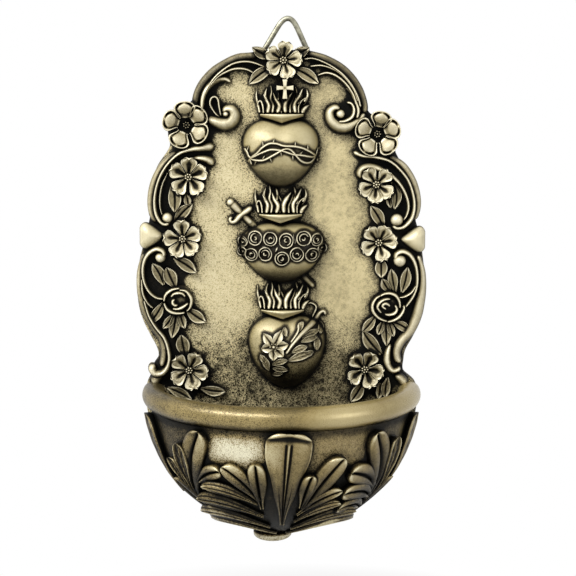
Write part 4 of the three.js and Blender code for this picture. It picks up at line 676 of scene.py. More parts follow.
# Collars: a flat-faced band across the top of each heart, straight above and dipping to a point below.
# Flames: curved tongues that stand on the collar in two rows, cast in one with the bed under them.
# Both are bonded to the plate. A tongue has a path from the collar's top, a half width and a height.
COLLARS = {"thorn_collar": [0.2, 76.6], "rose_collar": [-0.4, 33.2], "lily_collar": [0.5, -9.0]}
COLLAR_HALF_LENGTH = 9.4
COLLAR_END = 1.2
COLLAR_DIP = 2.7
COLLAR_RISE = 10.0
COLLAR_DOWN = [0, 0, 0.06, 0.2, 0.3, 0.5, 0.75, 0.95, 1, 1]
COLLAR_LOWER = [0, 0.5, 0.1, 0, 0.2, 0.8, 1.5, 2.2, 3.0, 0]
TONGUES = [
    ([[-7.9, 0.4], [-8.2, 3.4], [-9.0, 5.6], [-10.1, 5.4], [-10.5, 3.2], [-9.3, 0.6]], 0.6, 4.4),
    ([[-6.2, 0.4], [-5.5, 3.8], [-6.8, 6.6], [-8.0, 8.8]], 1.25, 5.6),
    ([[-4.1, 0.4], [-3.7, 3.8], [-4.8, 6.6], [-4.4, 9.8], [-4.9, 12.6]], 1.0, 4.8),
    ([[-2.0, 0.4], [-1.0, 3.6], [-2.7, 6.6], [-3.8, 9.6]], 1.45, 6.4),
    ([[0.1, 0.4], [-0.6, 2.8], [0.4, 5.2], [-1.0, 8.6]], 0.8, 4.8),
    ([[1.6, 0.4], [1.4, 4.0], [2.8, 6.9], [4.7, 9.6]], 1.45, 6.4),
    ([[3.7, 0.4], [3.7, 3.5], [4.9, 6.2], [5.7, 8.9]], 0.85, 4.8),
    ([[5.9, 0.4], [5.6, 4.4], [7.3, 7.3], [9.2, 11.2]], 1.3, 5.8),
    ([[7.3, 0.4], [7.3, 3.5], [8.7, 5.9], [10.8, 7.0], [10.4, 5.2], [8.8, 3.6]], 0.6, 4.4),
    ([[8.7, 0.4], [9.8, 2.4], [11.8, 4.0]], 1.1, 4.8),
    ([[-9.5, 0.6], [-10.3, 4.2], [-11.0, 7.3], [-11.0, 10.7]], 0.8, 3.2),
    ([[-6.6, 6.0], [-7.2, 8.6], [-6.4, 11.4]], 0.8, 3.0),
    ([[-1.6, 6.0], [-1.4, 9.0], [-2.2, 12.4]], 0.8, 3.0),
    ([[6.0, 6.0], [6.6, 9.0], [5.8, 12.0]], 0.8, 3.0),
    ([[9.6, 5.4], [11.2, 8.0], [10.8, 11.0]], 0.8, 3.0),
    ([[-5.0, 1.0], [-5.2, 4.2], [-5.8, 7.0]], 0.5, 3.6),
    ([[-3.0, 1.0], [-2.6, 4.0], [-3.6, 7.4]], 0.5, 3.6),
    ([[1.0, 1.0], [1.2, 4.4], [0.6, 8.0]], 0.5, 3.6),
    ([[2.7, 1.0], [3.0, 4.0], [3.8, 6.8]], 0.5, 3.6),
    ([[4.8, 1.0], [5.0, 4.4], [6.2, 8.2]], 0.5, 3.6),
    ([[7.0, 4.4], [8.6, 7.6], [8.4, 10.4]], 0.5, 3.4),
]
FLAME_FOOT = 1.4
FLAME_BED = [1.8, 2.2, 1.8]
across = np.linspace(-1, 1, 61)[:, None]
deep = COLLAR_END + COLLAR_DIP * (1 - np.abs(across)) ** 1.2
down = np.array([COLLAR_DOWN])
height = COLLAR_RISE * np.sqrt(1 - 0.75 * across**2) - np.array([COLLAR_LOWER])
height[:, [0, -1]] = -SINK
for name, (x, z) in COLLARS.items():
    band = shell(on_face(x + COLLAR_HALF_LENGTH * across + 0 * down, z - deep * down, height))
    castings.append(cast(name + "_casting", [band], heart_paint, name))
    foot = np.array([x, z - 0.15])
    reach = COLLAR_HALF_LENGTH - 0.6
    bed = [foot + [-reach, 1.4], foot + [0, 1.0], foot + [reach, 1.4]]
    skins = [strand(bed, FLAME_BED, [FLAME_FOOT] * 3, on_face)]
    for line, half, rise in TONGUES:
        widths = [0.75 * half, half, 0.8 * half, 0.15 * half]
        heights = [rise + 3, rise, 0.8 * rise, 0.5 * rise]
        skins.append(strand(foot + np.array(line), widths, heights, on_face, 40, 0.7))
    flames = name.replace("collar", "flames")
    castings.append(cast(flames + "_casting", skins, cast_paint, flames))

# Small cross: a plain casting with flared arms that stands in the top flames.
# It is bonded to the plate and painted with the rest of the castings.
CROSS_CENTRE = [1.6, 87.8]
CROSS_ARMS = [[90, 3.6], [0, 3.6], [180, 3.6], [270, 4.6]]
CROSS_RISE = 6.6
CROSS_ARM_WIDTH = 2.4


def flared(u):
    """Half width of an arm of the cross: narrow at the crossing, wider by a square towards its flat end."""
    return 0.66 + 0.34 * u**2


def bevelled(u, v):
    """Height of an arm of the cross: flat, with its edges drawn down."""
    return 1 - 0.12 * v**8 + 0 * u


skins = []
for angle, length in CROSS_ARMS:
    end = np.array(CROSS_CENTRE) + length * np.array([np.cos(np.radians(angle)), np.sin(np.radians(angle))])
    skins.append(leaf(CROSS_CENTRE, end, CROSS_ARM_WIDTH, 0, on_face, CROSS_RISE, bevelled, flared))
castings.append(cast("small_cross_casting", skins, cast_paint, "small_cross"))

# Thorn crown: three twisted wires that cross over the top heart, with short thorns, cast as one net.
# The net is bonded over the heart's crown, and the wash stays in its gaps.
CROWN_LINES = [
    [[-14.6, 55.6], [-12.7, 58.1], [-10.5, 59.9], [-8.1, 62.4], [-5.0, 64.1], [-1.9, 64.0], [1.2, 63.1],
     [6.0, 62.8], [10.1, 61.7], [14.3, 59.1], [16.0, 56.1]],
    [[-16.2, 62.0], [-15.1, 60.4], [-13.4, 57.9], [-9.1, 59.8], [-5.0, 61.4], [-1.9, 61.4], [0.8, 60.9],
     [5.3, 59.4], [8.7, 59.0], [14.3, 58.2], [16.2, 60.4]],
    [[-13.0, 54.6], [-13.6, 57.3], [-12.0, 56.9], [-7.8, 56.9], [-3.6, 59.0], [-0.5, 60.8], [1.9, 61.8],
     [4.2, 61.3], [6.6, 58.7], [8.7, 56.5], [11.2, 55.6], [13.6, 56.3], [15.4, 59.0], [16.6, 62.5]],
]
THORNS = [
    [[-7.7, 62.7], [-8.1, 65.3]], [[-3.6, 63.8], [-2.9, 66.4]], [[6.0, 62.8], [6.1, 65.0]],
    [[11.5, 61.0], [11.5, 63.7]], [[-5.0, 58.3], [-4.0, 55.9]], [[4.9, 59.4], [5.1, 56.6]],
    [[-15.1, 60.4], [-14.0, 63.1]], [[7.7, 59.0], [9.4, 60.9]], [[-8.1, 57.2], [-7.1, 59.0]],
    [[-0.2, 60.8], [0.1, 58.6]], [[13.0, 56.0], [14.0, 53.8]], [[-10.8, 56.9], [-11.6, 54.6]],
]
WIRE_HALF = 0.62
WIRE_RISE = 2.2
THORN_HALVES = [0.5, 0.3, 0.1]
THORN_RISES = [1.5, 1.6, 1.2]


def on_heart(heart):
    """Puts places on the face, and heights above a heart's crown, into space."""
    return lambda x, z, height: on_face(x, z, heart_dome(heart, x, z) + height)


over_thorn_heart = on_heart(HEARTS["thorn_heart"])
skins = [strand(line, [WIRE_HALF] * 2, [WIRE_RISE] * 2, over_thorn_heart, 120) for line in CROWN_LINES]
skins += [strand(line, THORN_HALVES, THORN_RISES, over_thorn_heart, 16) for line in THORNS]
castings.append(cast("thorn_crown_casting", skins, cast_paint, "thorn_crown"))

# Rose band: a wreath of small roses in two rows round the middle heart, cast as one on a low dark ground.
# Each rose is two outer petal edges that overlap, one inside them and a bud in its heart.
BAND_ROSES = [
    [-11.5, 23.1, 2.9], [-4.8, 22.9, 2.8], [2.1, 22.2, 3.0], [9.8, 23.0, 3.0], [15.6, 22.2, 2.5],
    [-13.2, 15.9, 2.7], [-7.0, 16.4, 2.8], [0.3, 14.5, 2.9], [6.8, 16.2, 2.9], [13.6, 15.8, 2.9],
    [-17.0, 21.3, 2.0], [-17.4, 16.8, 1.9], [18.0, 18.2, 1.9],
]
BAND_LEAVES = [
    [[5.6, 20.6], [5.2, 25.0]], [[5.9, 20.6], [7.2, 25.0]],
    [[-8.6, 19.4], [-6.0, 19.6]], [[-1.6, 19.6], [-2.6, 17.2]],
]
BAND_EDGES = [(1.04, 0.98, 0.0, 3.4), (1.04, 0.96, 3.0, 3.5), (0.66, 0.6, 1.4, 3.9), (0.26, 0.16, 4.2, 4.4)]
BAND_EDGE_HALVES = [0.24, 0.46, 0.46, 0.36, 0.2]
BAND_EDGE_RISES = [2.0, 2.7, 2.2]
BAND_TURN = 1.7
BAND_GROUND = [[-17.0, 18.8], [-9, 19.2], [0, 18.4], [9, 19.2], [17.0, 18.8]]


def curl(x, z, first, last, start, sweep):
    """Points round a middle, through a sweep in radians, at a radius that runs from first to last."""
    t = np.linspace(0, 1, 22)
    angle, radius = start + sweep * t, first + (last - first) * t
    return np.stack([x + radius * np.cos(angle), z + radius * np.sin(angle)], axis=1)


over_rose_heart = on_heart(HEARTS["rose_heart"])
band_paint = bronze(
    "washed bronze", gold=(0.045, 0.036, 0.018), pale=(0.72, 0.65, 0.45), speckle=0.04, grain=0.2,
    rough=0.42,
)
skins = [strand(BAND_GROUND, [4.0, 6.0, 6.4, 6.0, 4.0], [0.6] * 2, over_rose_heart, 100)]
for index, (x, z, radius) in enumerate(BAND_ROSES):
    start = BAND_TURN * index
    for first, last, begin, sweep in BAND_EDGES:
        edge = curl(x, z, first * radius, last * radius, start + begin, sweep)
        skins.append(strand(edge, BAND_EDGE_HALVES, BAND_EDGE_RISES, over_rose_heart, 50, 0.7))
skins += [strand(line, [0.4, 0.6, 0.2], [1.4, 2.0, 1.4], over_rose_heart, 20) for line in BAND_LEAVES]
castings.append(cast("rose_band_casting", skins, band_paint, "rose_band"))

# Lily spray: a six-pointed flower, its stems and pointed leaves laid over the bottom heart, cast as one.
# The petals have a groove and lifted edges, and the leaves thin rims.
LILY_CENTRE = [-3.4, -24.4]
LILY_TIPS = [[-7.9, -18.8], [0.0, -17.3], [3.1, -23.2], [1.0, -28.4], [-3.5, -30.4], [-8.9, -25.6]]
LILY_STEMS = [
    ([[2.0, -27.4], [5.2, -22.9], [9.4, -18.4], [14.6, -14.1], [17.0, -11.0], [18.8, -10.2],
      [19.6, -12.0]], [0.6, 1.0, 1.3, 1.3, 0.9]),
    ([[4.1, -22.4], [7.2, -17.9], [7.6, -14.6]], [0.5, 0.6, 0.5]),
    ([[10.4, -7.4], [13.0, -6.4], [15.4, -8.4], [13.6, -12.8]], [0.4, 0.55, 0.55, 0.4]),
]
LILY_LEAVES = [
    [[9.0, -20.4], [16.8, -17.6], 2.4], [[8.6, -22.2], [16.0, -20.4], 2.4],
    [[4.6, -26.7], [11.4, -24.2], 2.8], [[3.2, -30.3], [13.6, -27.0], 3.4],
    [[10.6, -29.0], [14.0, -26.4], 2.4], [[-5.6, -35.2], [-7.3, -29.2], 2.8],
    [[-6.0, -32.0], [-9.4, -28.2], 2.4], [[-3.8, -34.2], [2.8, -34.7], 2.4],
    [[-4.0, -37.2], [0.4, -36.2], 2.0], [[17.2, -14.6], [17.4, -19.4], 2.4],
    [[-4.0, -32.4], [2.8, -30.0], 2.4], [[7.4, -17.9], [9.6, -13.8], 2.2],
    [[2.2, -19.9], [1.4, -16.0], 2.0], [[15.4, -20.4], [15.6, -26.4], 2.6],
]
LILY_PETAL_WIDTH = 4.0
LILY_PETAL_RISE = 2.4
LILY_STEM_RISE = 2.4
LILY_LEAF_FULLNESS = 1.2
LILY_LEAF_BEND = 0.25
LILY_LEAF_RISE = 2.2
LILY_EYE = 0.8
LILY_STAMENS = 6
LILY_STAMEN = 0.35
LILY_STAMEN_CIRCLE = 1.5
LILY_EYE_TOP = 2.6


def rimmed(u, v):
    """Height of a leaf: flat, with a bead inside each edge, a midrib, faint side veins and a lifted tip."""
    veins = 0.03 * np.cos(2 * np.pi * (5 * u - 1.4 * np.abs(v))) * (1 - v**2)
    midrib = 0.2 * np.exp(-((v / 0.1) ** 2)) * (1 - 0.5 * u)
    bead_line = 0.26 * np.exp(-(((np.abs(v) - 0.84) / 0.13) ** 2))
    return (0.58 + bead_line + midrib + veins) * (0.8 + 0.35 * u)


def pointed(u):
    """Half width of a lily petal: narrow at the middle, full at two thirds, then a sharp point."""
    return np.sin(np.pi * (0.1 + 0.89 * u**1.4)) ** 1.1


def keeled(u, v):
    """Height of a lily petal: it rises to its tip, its edges lift, and a groove runs down the middle."""
    return 0.55 + 0.2 * u + 0.25 * np.abs(v) ** 2 - 0.3 * np.exp(-((v / 0.18) ** 2)) * (1 - 0.6 * u)


over_lily_heart = on_heart(HEARTS["lily_heart"])
skins = []
for tip in LILY_TIPS:
    skins.append(leaf(
        LILY_CENTRE, tip, LILY_PETAL_WIDTH, 0, over_lily_heart, LILY_PETAL_RISE, keeled, pointed,
    ))
skins.append(bead(*LILY_CENTRE, LILY_EYE, 0.0, LILY_EYE_TOP, over_lily_heart))
for angle in np.linspace(0, 2 * np.pi, LILY_STAMENS + 1)[:-1]:
    spot = np.array(LILY_CENTRE) + LILY_STAMEN_CIRCLE * np.array([np.cos(angle), np.sin(angle)])
    skins.append(bead(*spot, LILY_STAMEN, 0.4, LILY_EYE_TOP, over_lily_heart))
for line, halves in LILY_STEMS:
    skins.append(strand(line, halves, [LILY_STEM_RISE] * 2, over_lily_heart, 60))
for base, tip, width in LILY_LEAVES:
    wide = LILY_LEAF_FULLNESS * width
    skins.append(leaf(base, tip, wide, LILY_LEAF_BEND, over_lily_heart, LILY_LEAF_RISE, rimmed))
castings.append(cast("lily_spray_casting", skins, cast_paint, "lily_spray"))

# Sword: a small casting whose blade runs behind the middle heart from its left shoulder to its right foot.
# The guard's ends curl over, and a round pommel closes the grip.
SWORD_POMMEL = [-22.3, 38.2]
POMMEL_RADIUS = 1.7
GRIP_LINE = [SWORD_POMMEL, [-17.6, 33.4], [-12.6, 28.3]]
BLADE_LINE = [[-18.0, 33.8], [-2, 17.5], [14.6, 0.5]]
GUARD_LINE = [
    [-13.0, 36.2], [-14.6, 34.8], [-17.9, 32.4], [-20.2, 30.0], [-21.9, 29.6], [-22.5, 31.0], [-21.4, 31.6],
]
skins = [
    strand(GRIP_LINE, [1.9, 1.5, 1.5], [4.4, 4.0, 3.6], on_face, 40, 0.6),
    strand(BLADE_LINE, [1.6, 1.7, 1.4], [3.2, 3.4, 3.8], on_face, 60, 0.6),
    strand(GUARD_LINE, [1.3, 1.6, 1.5, 1.1, 0.8], [4.2, 4.8, 4.8, 4.4, 4.2], on_face, 50, 0.7),
    bead(*SWORD_POMMEL, POMMEL_RADIUS, -0.4, 4.5, on_face),
]
castings.append(cast("sword_casting", skins, cast_paint, "sword"))

# Bowl: a half-round cup of cast resin, hollow and open at the top, pegged and bonded to the plate.
# Its skin is the same bronze, darker and more speckled between the leaves.
BOWL_WALL = 5.0
BOWL_FLOOR = 0.86
BOWL_FOOT = 0.975
BOWL_END = np.pi / 2 + 0.012
angle = np.linspace(-BOWL_END, BOWL_END, 181)[:, None]
outer = np.linspace(BOWL_FOOT, 0, 60)
inner = np.linspace(0, BOWL_FLOOR, 30)
inner_share = bowl_share(inner) - BOWL_WALL / BOWL_HALF_WIDTH
profile_share = np.concatenate([[0.0], bowl_share(outer), inner_share, [0.0]])
profile_level = np.concatenate([[BOWL_FOOT], outer, inner, [BOWL_FLOOR]])
x = BOWL_HALF_WIDTH * profile_share * np.sin(angle)
y = -PLATE_THICKNESS - BOWL_REACH * profile_share * np.cos(angle)
z = BOWL_TOP - BOWL_HEIGHT * profile_level + 0 * angle
bowl_paint = bronze(
    "bowl bronze", gold=(0.30, 0.225, 0.09), pale=(0.76, 0.72, 0.53), speckle=0.30, grain=0.35, rough=0.34,
    metal=0.3,
)
bowl = cast("bowl_shell_casting", [shell(np.stack([x, y, z], axis=-1))], bowl_paint, "bowl_shell")
round_castings = [bowl]

# Rim: a thick round roll along the bowl's edge with both ends on the plate.
# It is handled most, so its bronze is the smoothest, olive with a broad satin light.
RIM_HALF = 57.0
RIM_REACH = 56.0
RIM_Z = -47.0
RIM_RADIUS = 5.0
RIM_END = np.pi / 2 + 0.01
angle = np.linspace(-RIM_END, RIM_END, 161)[:, None]
out = np.stack([RIM_REACH * np.sin(angle), -RIM_HALF * np.cos(angle)], axis=-1)
out /= np.linalg.norm(out, axis=-1, keepdims=True)
turn = np.linspace(0, 2 * np.pi, 41)[None, :-1]
x = RIM_HALF * np.sin(angle) + out[..., 0] * RIM_RADIUS * np.cos(turn)
y = -PLATE_THICKNESS - RIM_REACH * np.cos(angle) + out[..., 1] * RIM_RADIUS * np.cos(turn)
z = RIM_Z + RIM_RADIUS * np.sin(turn) + 0 * x
rim_paint = bronze(
    "rim bronze", gold=(0.28, 0.21, 0.075), pale=(0.58, 0.48, 0.24), speckle=0.18, grain=0.15, rough=0.25,
    metal=0.28,
)
rim = cast("bowl_rim_casting", [shell(np.stack([x, y, z], axis=-1))], rim_paint, "bowl_rim")

# Acanthus: bonded groups of rounded cast leaves that climb the bowl, and a broad leaf at each back corner.
# Most are split down the middle, the lowest are veined, and a few have raised rims.
# Lines give base and tip as [way round the bowl at its top, z], then the width.
BROAD_LEAVES = {
    "acanthus_front": [
        ([-11.0, -84.0], [-25.4, -67.7], 9.4), ([-10.5, -88.0], [-10.6, -65.6], 8.8),
        ([9.3, -91.3], [29.3, -79.2], 6.5), ([12.5, -89.0], [26.7, -64.1], 11.4),
        ([10.5, -87.5], [13.3, -70.8], 8.0),
    ],
    "acanthus_left": [
        ([-43.0, -77.5], [-26.7, -70.0], 7.0), ([-52.0, -88.0], [-34.6, -53.6], 12.4),
        ([-48.0, -99.0], [-62.0, -79.0], 11.0),
    ],
    "acanthus_right": [
        ([62.0, -94.0], [32.4, -89.2], 8.0), ([60.0, -88.0], [31.1, -81.3], 9.0),
        ([55.0, -82.0], [31.5, -71.3], 10.4), ([58.0, -88.0], [41.9, -55.1], 12.8),
        ([60.0, -99.0], [67.0, -79.0], 10.0),
    ],
}
VEINED_LEAVES = {
    "acanthus_front": [
        ([-12.5, -85.5], [-39.5, -78.4], 6.6), ([-11.0, -92.5], [-49.0, -86.0], 7.6),
        ([-9.0, -99.5], [-60.0, -94.2], 7.2), ([-6.0, -105.2], [-76.0, -101.2], 6.0),
        ([8.5, -95.6], [31.5, -85.6], 6.0), ([8.0, -100.8], [50.0, -92.6], 7.0),
        ([6.0, -105.4], [70.0, -99.8], 6.2),
    ],
}
RIMMED_LEAVES = {
    "acanthus_left": [([-50.5, -82.0], [-47.6, -60.8], 8.6), ([-54.5, -80.0], [-57.2, -68.5], 7.6)],
    "acanthus_right": [([61.0, -84.0], [56.3, -59.7], 9.0)],
    "corner_leaf_left": [([-74.0, -88.0], [-79.5, -53.6], 22.0)],
    "corner_leaf_right": [([75.0, -86.0], [79.5, -53.4], 21.0)],
}
FRONT_LEAF = ([0.5, -97.0], [3.7, -52.0], 19.2)
ACANTHUS_RISE = 3.6
ACANTHUS_BEND = 0.06


def on_bowl(way, z, height):
    """Puts [way round the bowl, z], and heights above its skin, into space."""
    level = np.clip((BOWL_TOP - z) / BOWL_HEIGHT, 0, 0.985)
    angle = way / BOWL_HALF_WIDTH
    share = bowl_share(level)
    x = (BOWL_HALF_WIDTH * share + height) * np.sin(angle)
    y = -PLATE_THICKNESS - (BOWL_REACH * share + height) * np.cos(angle)
    return np.stack([x, y, z - 0.5 * level * height], axis=-1)


def full(u):
    """Half width of an acanthus leaf: a narrow stalk, then a broad oval whose tip is round."""
    oval = np.clip(1 - (np.clip(u - 0.6, 0, 1) / 0.401) ** 3.4, 0.005, 1) ** 0.46
    return np.where(u < 0.6, 0.30 + 0.70 * smooth(u / 0.6), oval)


def split(u, v):
    """Height of an acanthus leaf: two puffed halves, a cut between that narrows upwards, a lifted tip."""
    halves = np.clip(1 - (2 * np.abs(v) - 1) ** 2, 0, 1) ** 0.4
    cut = np.exp(-((v / (0.04 + 0.2 * (1 - u))) ** 2))
    return (0.12 + 0.8 * halves - 0.3 * cut * (1 - 0.6 * u)) * (0.55 + 0.6 * u**2)


def veined(u, v):
    """Height of a veined leaf: a swell with a cut down the middle and a shallower one on each side, all
    widest at the stalk, and a tip that lifts."""
    cut_width = 0.07 + 0.12 * (1 - u)
    middle_cut = 0.4 * np.exp(-((v / cut_width) ** 2))
    side_cuts = 0.24 * np.exp(-(((np.abs(v) - 0.55) / cut_width) ** 2))
    swell = 0.16 + 0.84 * np.sqrt(1 - 0.95 * v**2)
    return (swell - (middle_cut + side_cuts) * (1 - 0.5 * u)) * (0.6 + 0.6 * u**2)


def lipped_width(u):
    """Half width of the front leaf: a slender foot that widens in two waves to a broad rounded top."""
    crown = np.sqrt(1 - 0.75 * (np.clip(u - 0.88, 0, 1) / 0.12) ** 2)
    return (0.2 + 0.42 * smooth(u / 0.5) + 0.38 * smooth((u - 0.42) / 0.38)) * crown


def lipped(u, v):
    """Height of the front leaf: a ridge between two cuts down the middle, a cut vein low in each swollen
    side, a dip, and a rolled lip."""
    rib = 0.12 * np.exp(-((v / 0.05) ** 2)) - 0.18 * np.exp(-(((np.abs(v) - 0.11) / 0.045) ** 2))
    vein = 0.12 * np.exp(-(((np.abs(v) - 0.5) / 0.06) ** 2)) * smooth((0.6 - u) / 0.3)
    swell = 0.2 * np.sin(np.pi * np.clip((np.abs(v) - 0.1) / 0.9, 0, 1))
    edge = u + 0.03 * v**2
    lip = 0.45 * smooth((edge - 0.945) / 0.035) - 0.1 * np.exp(-(((edge - 0.925) / 0.025) ** 2))
    return 0.5 + (rib - vein) * smooth((0.9 - u) / 0.03) + swell - 0.12 * v**6 + lip + 0.25 * u**2


leaf_paint = bronze(
    "leaf bronze", gold=(0.255, 0.19, 0.07), pale=(0.64, 0.57, 0.35), speckle=0.22, grain=0.25, rough=0.27,
    metal=0.3,
)
for name in ("acanthus_front", "acanthus_left", "acanthus_right", "corner_leaf_left", "corner_leaf_right"):
    skins = []
    for group, form in ((RIMMED_LEAVES, rimmed), (BROAD_LEAVES, split), (VEINED_LEAVES, veined)):
        for base, tip, width in group.get(name, []):
            bend = 0 if group is RIMMED_LEAVES else ACANTHUS_BEND * (tip[0] - base[0])
            skins.append(leaf(
                base, tip, width, bend, on_bowl, ACANTHUS_RISE, form, full, rows=72, columns=41,
            ))
    if name == "acanthus_front":
        skins.append(leaf(
            *FRONT_LEAF, 0, on_bowl, ACANTHUS_RISE, lipped, lipped_width, rows=110, columns=71,
        ))
    round_castings.append(cast(name + "_casting", skins, leaf_paint, name))

# Boss: a flat button bonded under the bowl's foot.
# It is cast on its own and painted with the bowl, and its lower edge is rubbed.
BOSS_CENTRE = [-4.0, -(PLATE_THICKNESS + 8.8)]
BOSS_RADIUS = 8.5
BOSS_TOP = BOWL_TOP - BOWL_FOOT * BOWL_HEIGHT + SINK
BOSS_EDGE = 1.4
BOSS_DROP = 4.6
turn = np.linspace(np.pi / 2, 0.03, 20)
share = np.concatenate([[1.0], np.sin(turn)])[:, None]
drop = np.concatenate([[0.0], BOSS_EDGE + (BOSS_DROP - BOSS_EDGE) * np.cos(turn) ** 0.8])[:, None]
angle = np.linspace(0, 2 * np.pi, 65)[None, :-1]
x = BOSS_CENTRE[0] + BOSS_RADIUS * share * np.cos(angle)
y = BOSS_CENTRE[1] + BOSS_RADIUS * share * np.sin(angle)
boss_skin = shell(np.stack([x, y, BOSS_TOP - drop + 0 * x], axis=-1))
round_castings.append(cast("bowl_boss_casting", [boss_skin], bowl_paint, "bowl_boss"))

# Hanger ring: a triangle of dull steel wire with round bends, which swings in the eye of its strap.
# It hangs a little to the right of the middle. Each corner is x, z and how far from it the bend starts.
HANGER_X = 1.6
AXIS_Z = 101.0
AXIS_DEPTH = 2.5
WIRE_RADIUS = 1.2
RING_CORNERS = [[-11.2, 0.0, 4.5], [11.2, 0.0, 4.5], [1.6, 21.1, 9.3]]
steel = bpy.data.materials.new("dull steel wire")
steel.use_nodes = True
nodes, links = steel.node_tree.nodes, steel.node_tree.links
shader = nodes["Principled BSDF"]
shader.inputs["Metallic"].default_value = 0.85
place = nodes.new("ShaderNodeTexCoord")
smear = nodes.new("ShaderNodeTexNoise")
smear.inputs["Scale"].default_value = 420
smear.inputs["Detail"].default_value = 4
links.new(place.outputs["Object"], smear.inputs["Vector"])
tone = nodes.new("ShaderNodeValToRGB")
tone.color_ramp.elements[0].position = 0.3
tone.color_ramp.elements[0].color = (0.14, 0.13, 0.09, 1)
tone.color_ramp.elements[1].position = 0.7
tone.color_ramp.elements[1].color = (0.38, 0.37, 0.28, 1)
links.new(smear.outputs["Fac"], tone.inputs["Fac"])
links.new(tone.outputs["Color"], shader.inputs["Base Color"])
gloss = nodes.new("ShaderNodeMapRange")
gloss.inputs["To Min"].default_value = 0.3
gloss.inputs["To Max"].default_value = 0.5
links.new(smear.outputs["Fac"], gloss.inputs["Value"])
links.new(gloss.outputs["Result"], shader.inputs["Roughness"])

corners = np.array(RING_CORNERS)[:, :2]
bend_length = np.array(RING_CORNERS)[:, 2:]
to_next = np.roll(corners, -1, axis=0) - corners
to_next /= np.linalg.norm(to_next, axis=1, keepdims=True)
to_last = -np.roll(to_next, 1, axis=0)
bend_t = np.linspace(0, 1, 12)[None, :, None]
bend_in = (corners + bend_length * to_last)[:, None]
bend_out = (corners + bend_length * to_next)[:, None]
bends = bend_in * (1 - bend_t) ** 2 + 2 * corners[:, None] * bend_t * (1 - bend_t) + bend_out * bend_t**2
straight = bend_out + (np.roll(bend_in, -1, axis=0) - bend_out) * np.linspace(0, 1, 14)[None, 1:-1, None]
wire_line = np.concatenate([bends, straight], axis=1).reshape(-1, 2)
ahead = np.roll(wire_line, -1, axis=0) - np.roll(wire_line, 1, axis=0)
ahead /= np.linalg.norm(ahead, axis=1, keepdims=True)
turn = np.linspace(0, 2 * np.pi, 21)[None, :-1]
x = HANGER_X + wire_line[:, :1] + ahead[:, 1:] * WIRE_RADIUS * np.cos(turn)
z = AXIS_Z + wire_line[:, 1:] - ahead[:, :1] * WIRE_RADIUS * np.cos(turn)
y = -AXIS_DEPTH + WIRE_RADIUS * np.sin(turn) + 0 * x
ring_grid = np.stack([x, y, z], axis=-1)
rows, cols = ring_grid.shape[:2]
row, col = np.arange(rows)[:, None], np.arange(cols)[None, :]
row_after, col_after = (row + 1) % rows, (col + 1) % cols
ring_quads = np.stack([
    row * cols + col, row_after * cols + col, row_after * cols + col_after, row * cols + col_after,
], axis=-1).reshape(-1, 4)
ring_skin = (ring_grid.reshape(-1, 3), ring_quads, np.zeros((0, 3), int))
cast("hanger_ring_wire", [ring_skin], steel, "hanger_ring", body="ring", slot="steel")

# Hanger strap: a strip of the same steel that lies in the pocket of the plate's back.
# Its upper end is rolled into an eye round the foot of the ring.
EYE_INNER = 1.5
EYE_OUTER = 2.2
EYE_SWEEP = 330
STRAP_HALF = 4.0
STRAP_LENGTH = 12.0
STRAP_THICKNESS = 0.7
middle = (EYE_INNER + EYE_OUTER) / 2
tab_z = np.linspace(AXIS_Z - STRAP_LENGTH, AXIS_Z - 0.4, 12)
tab = np.stack([np.full(len(tab_z), AXIS_DEPTH + middle), tab_z], axis=1)
turn = np.radians(np.linspace(0, EYE_SWEEP, 60))
eye = np.stack([AXIS_DEPTH + middle * np.cos(turn), AXIS_Z + middle * np.sin(turn)], axis=1)
strap_line = np.concatenate([tab, eye])
ahead = np.gradient(strap_line, axis=0)
ahead /= np.linalg.norm(ahead, axis=1, keepdims=True)
normal = np.stack([-ahead[:, 1], ahead[:, 0]], axis=1) * STRAP_THICKNESS / 2
section_out = np.array([1, 1, 1, -1, -1, -1])[None, :]
section_x = np.array([-1, 0, 1, 1, 0, -1])[None, :] * STRAP_HALF
depth = strap_line[:, :1] + normal[:, :1] * section_out
z = strap_line[:, 1:] + normal[:, 1:] * section_out
strap_skin = shell(np.stack([HANGER_X + section_x + 0 * depth, -depth, z], axis=-1))
cast("hanger_strap_steel", [strap_skin], steel, "hanger_strap", slot="steel")

# Hanger screw: a steel screw with a slotted round head that holds the strap in the pocket.
# It is turned, and its head lies on the strap below the eye.
SCREW_Z = AXIS_Z - 7.5
SCREW_HEAD = 2.2
SCREW_GAP = 0.05
SCREW_SHARES = [0.4, 1.0, 1.0, 0.97, 0.88, 0.6, 0.3, 0.05]
SCREW_LIFTS = [-1.0, 0.0, 0.75, 0.95, 1.08, 1.16, 1.2, 1.2]
SLOT_WIDTH = 0.6
SLOT_FLOOR = 0.55
head_depth = AXIS_DEPTH + EYE_OUTER - STRAP_THICKNESS - SCREW_GAP
angle = np.linspace(0, 2 * np.pi, 65)[None, :-1]
share = np.array(SCREW_SHARES)[:, None]
lift = np.array(SCREW_LIFTS)[:, None]
x = SCREW_HEAD * share * np.cos(angle)
z = SCREW_HEAD * share * np.sin(angle)
in_slot = (np.abs(z) < SLOT_WIDTH / 2) & (lift > 0.5)
y = -head_depth + np.where(in_slot, SLOT_FLOOR, lift + 0 * x)
screw_skin = shell(np.stack([HANGER_X + x, y, SCREW_Z + z], axis=-1))
cast("hanger_screw_steel", [screw_skin], steel, "hanger_screw", slot="steel")
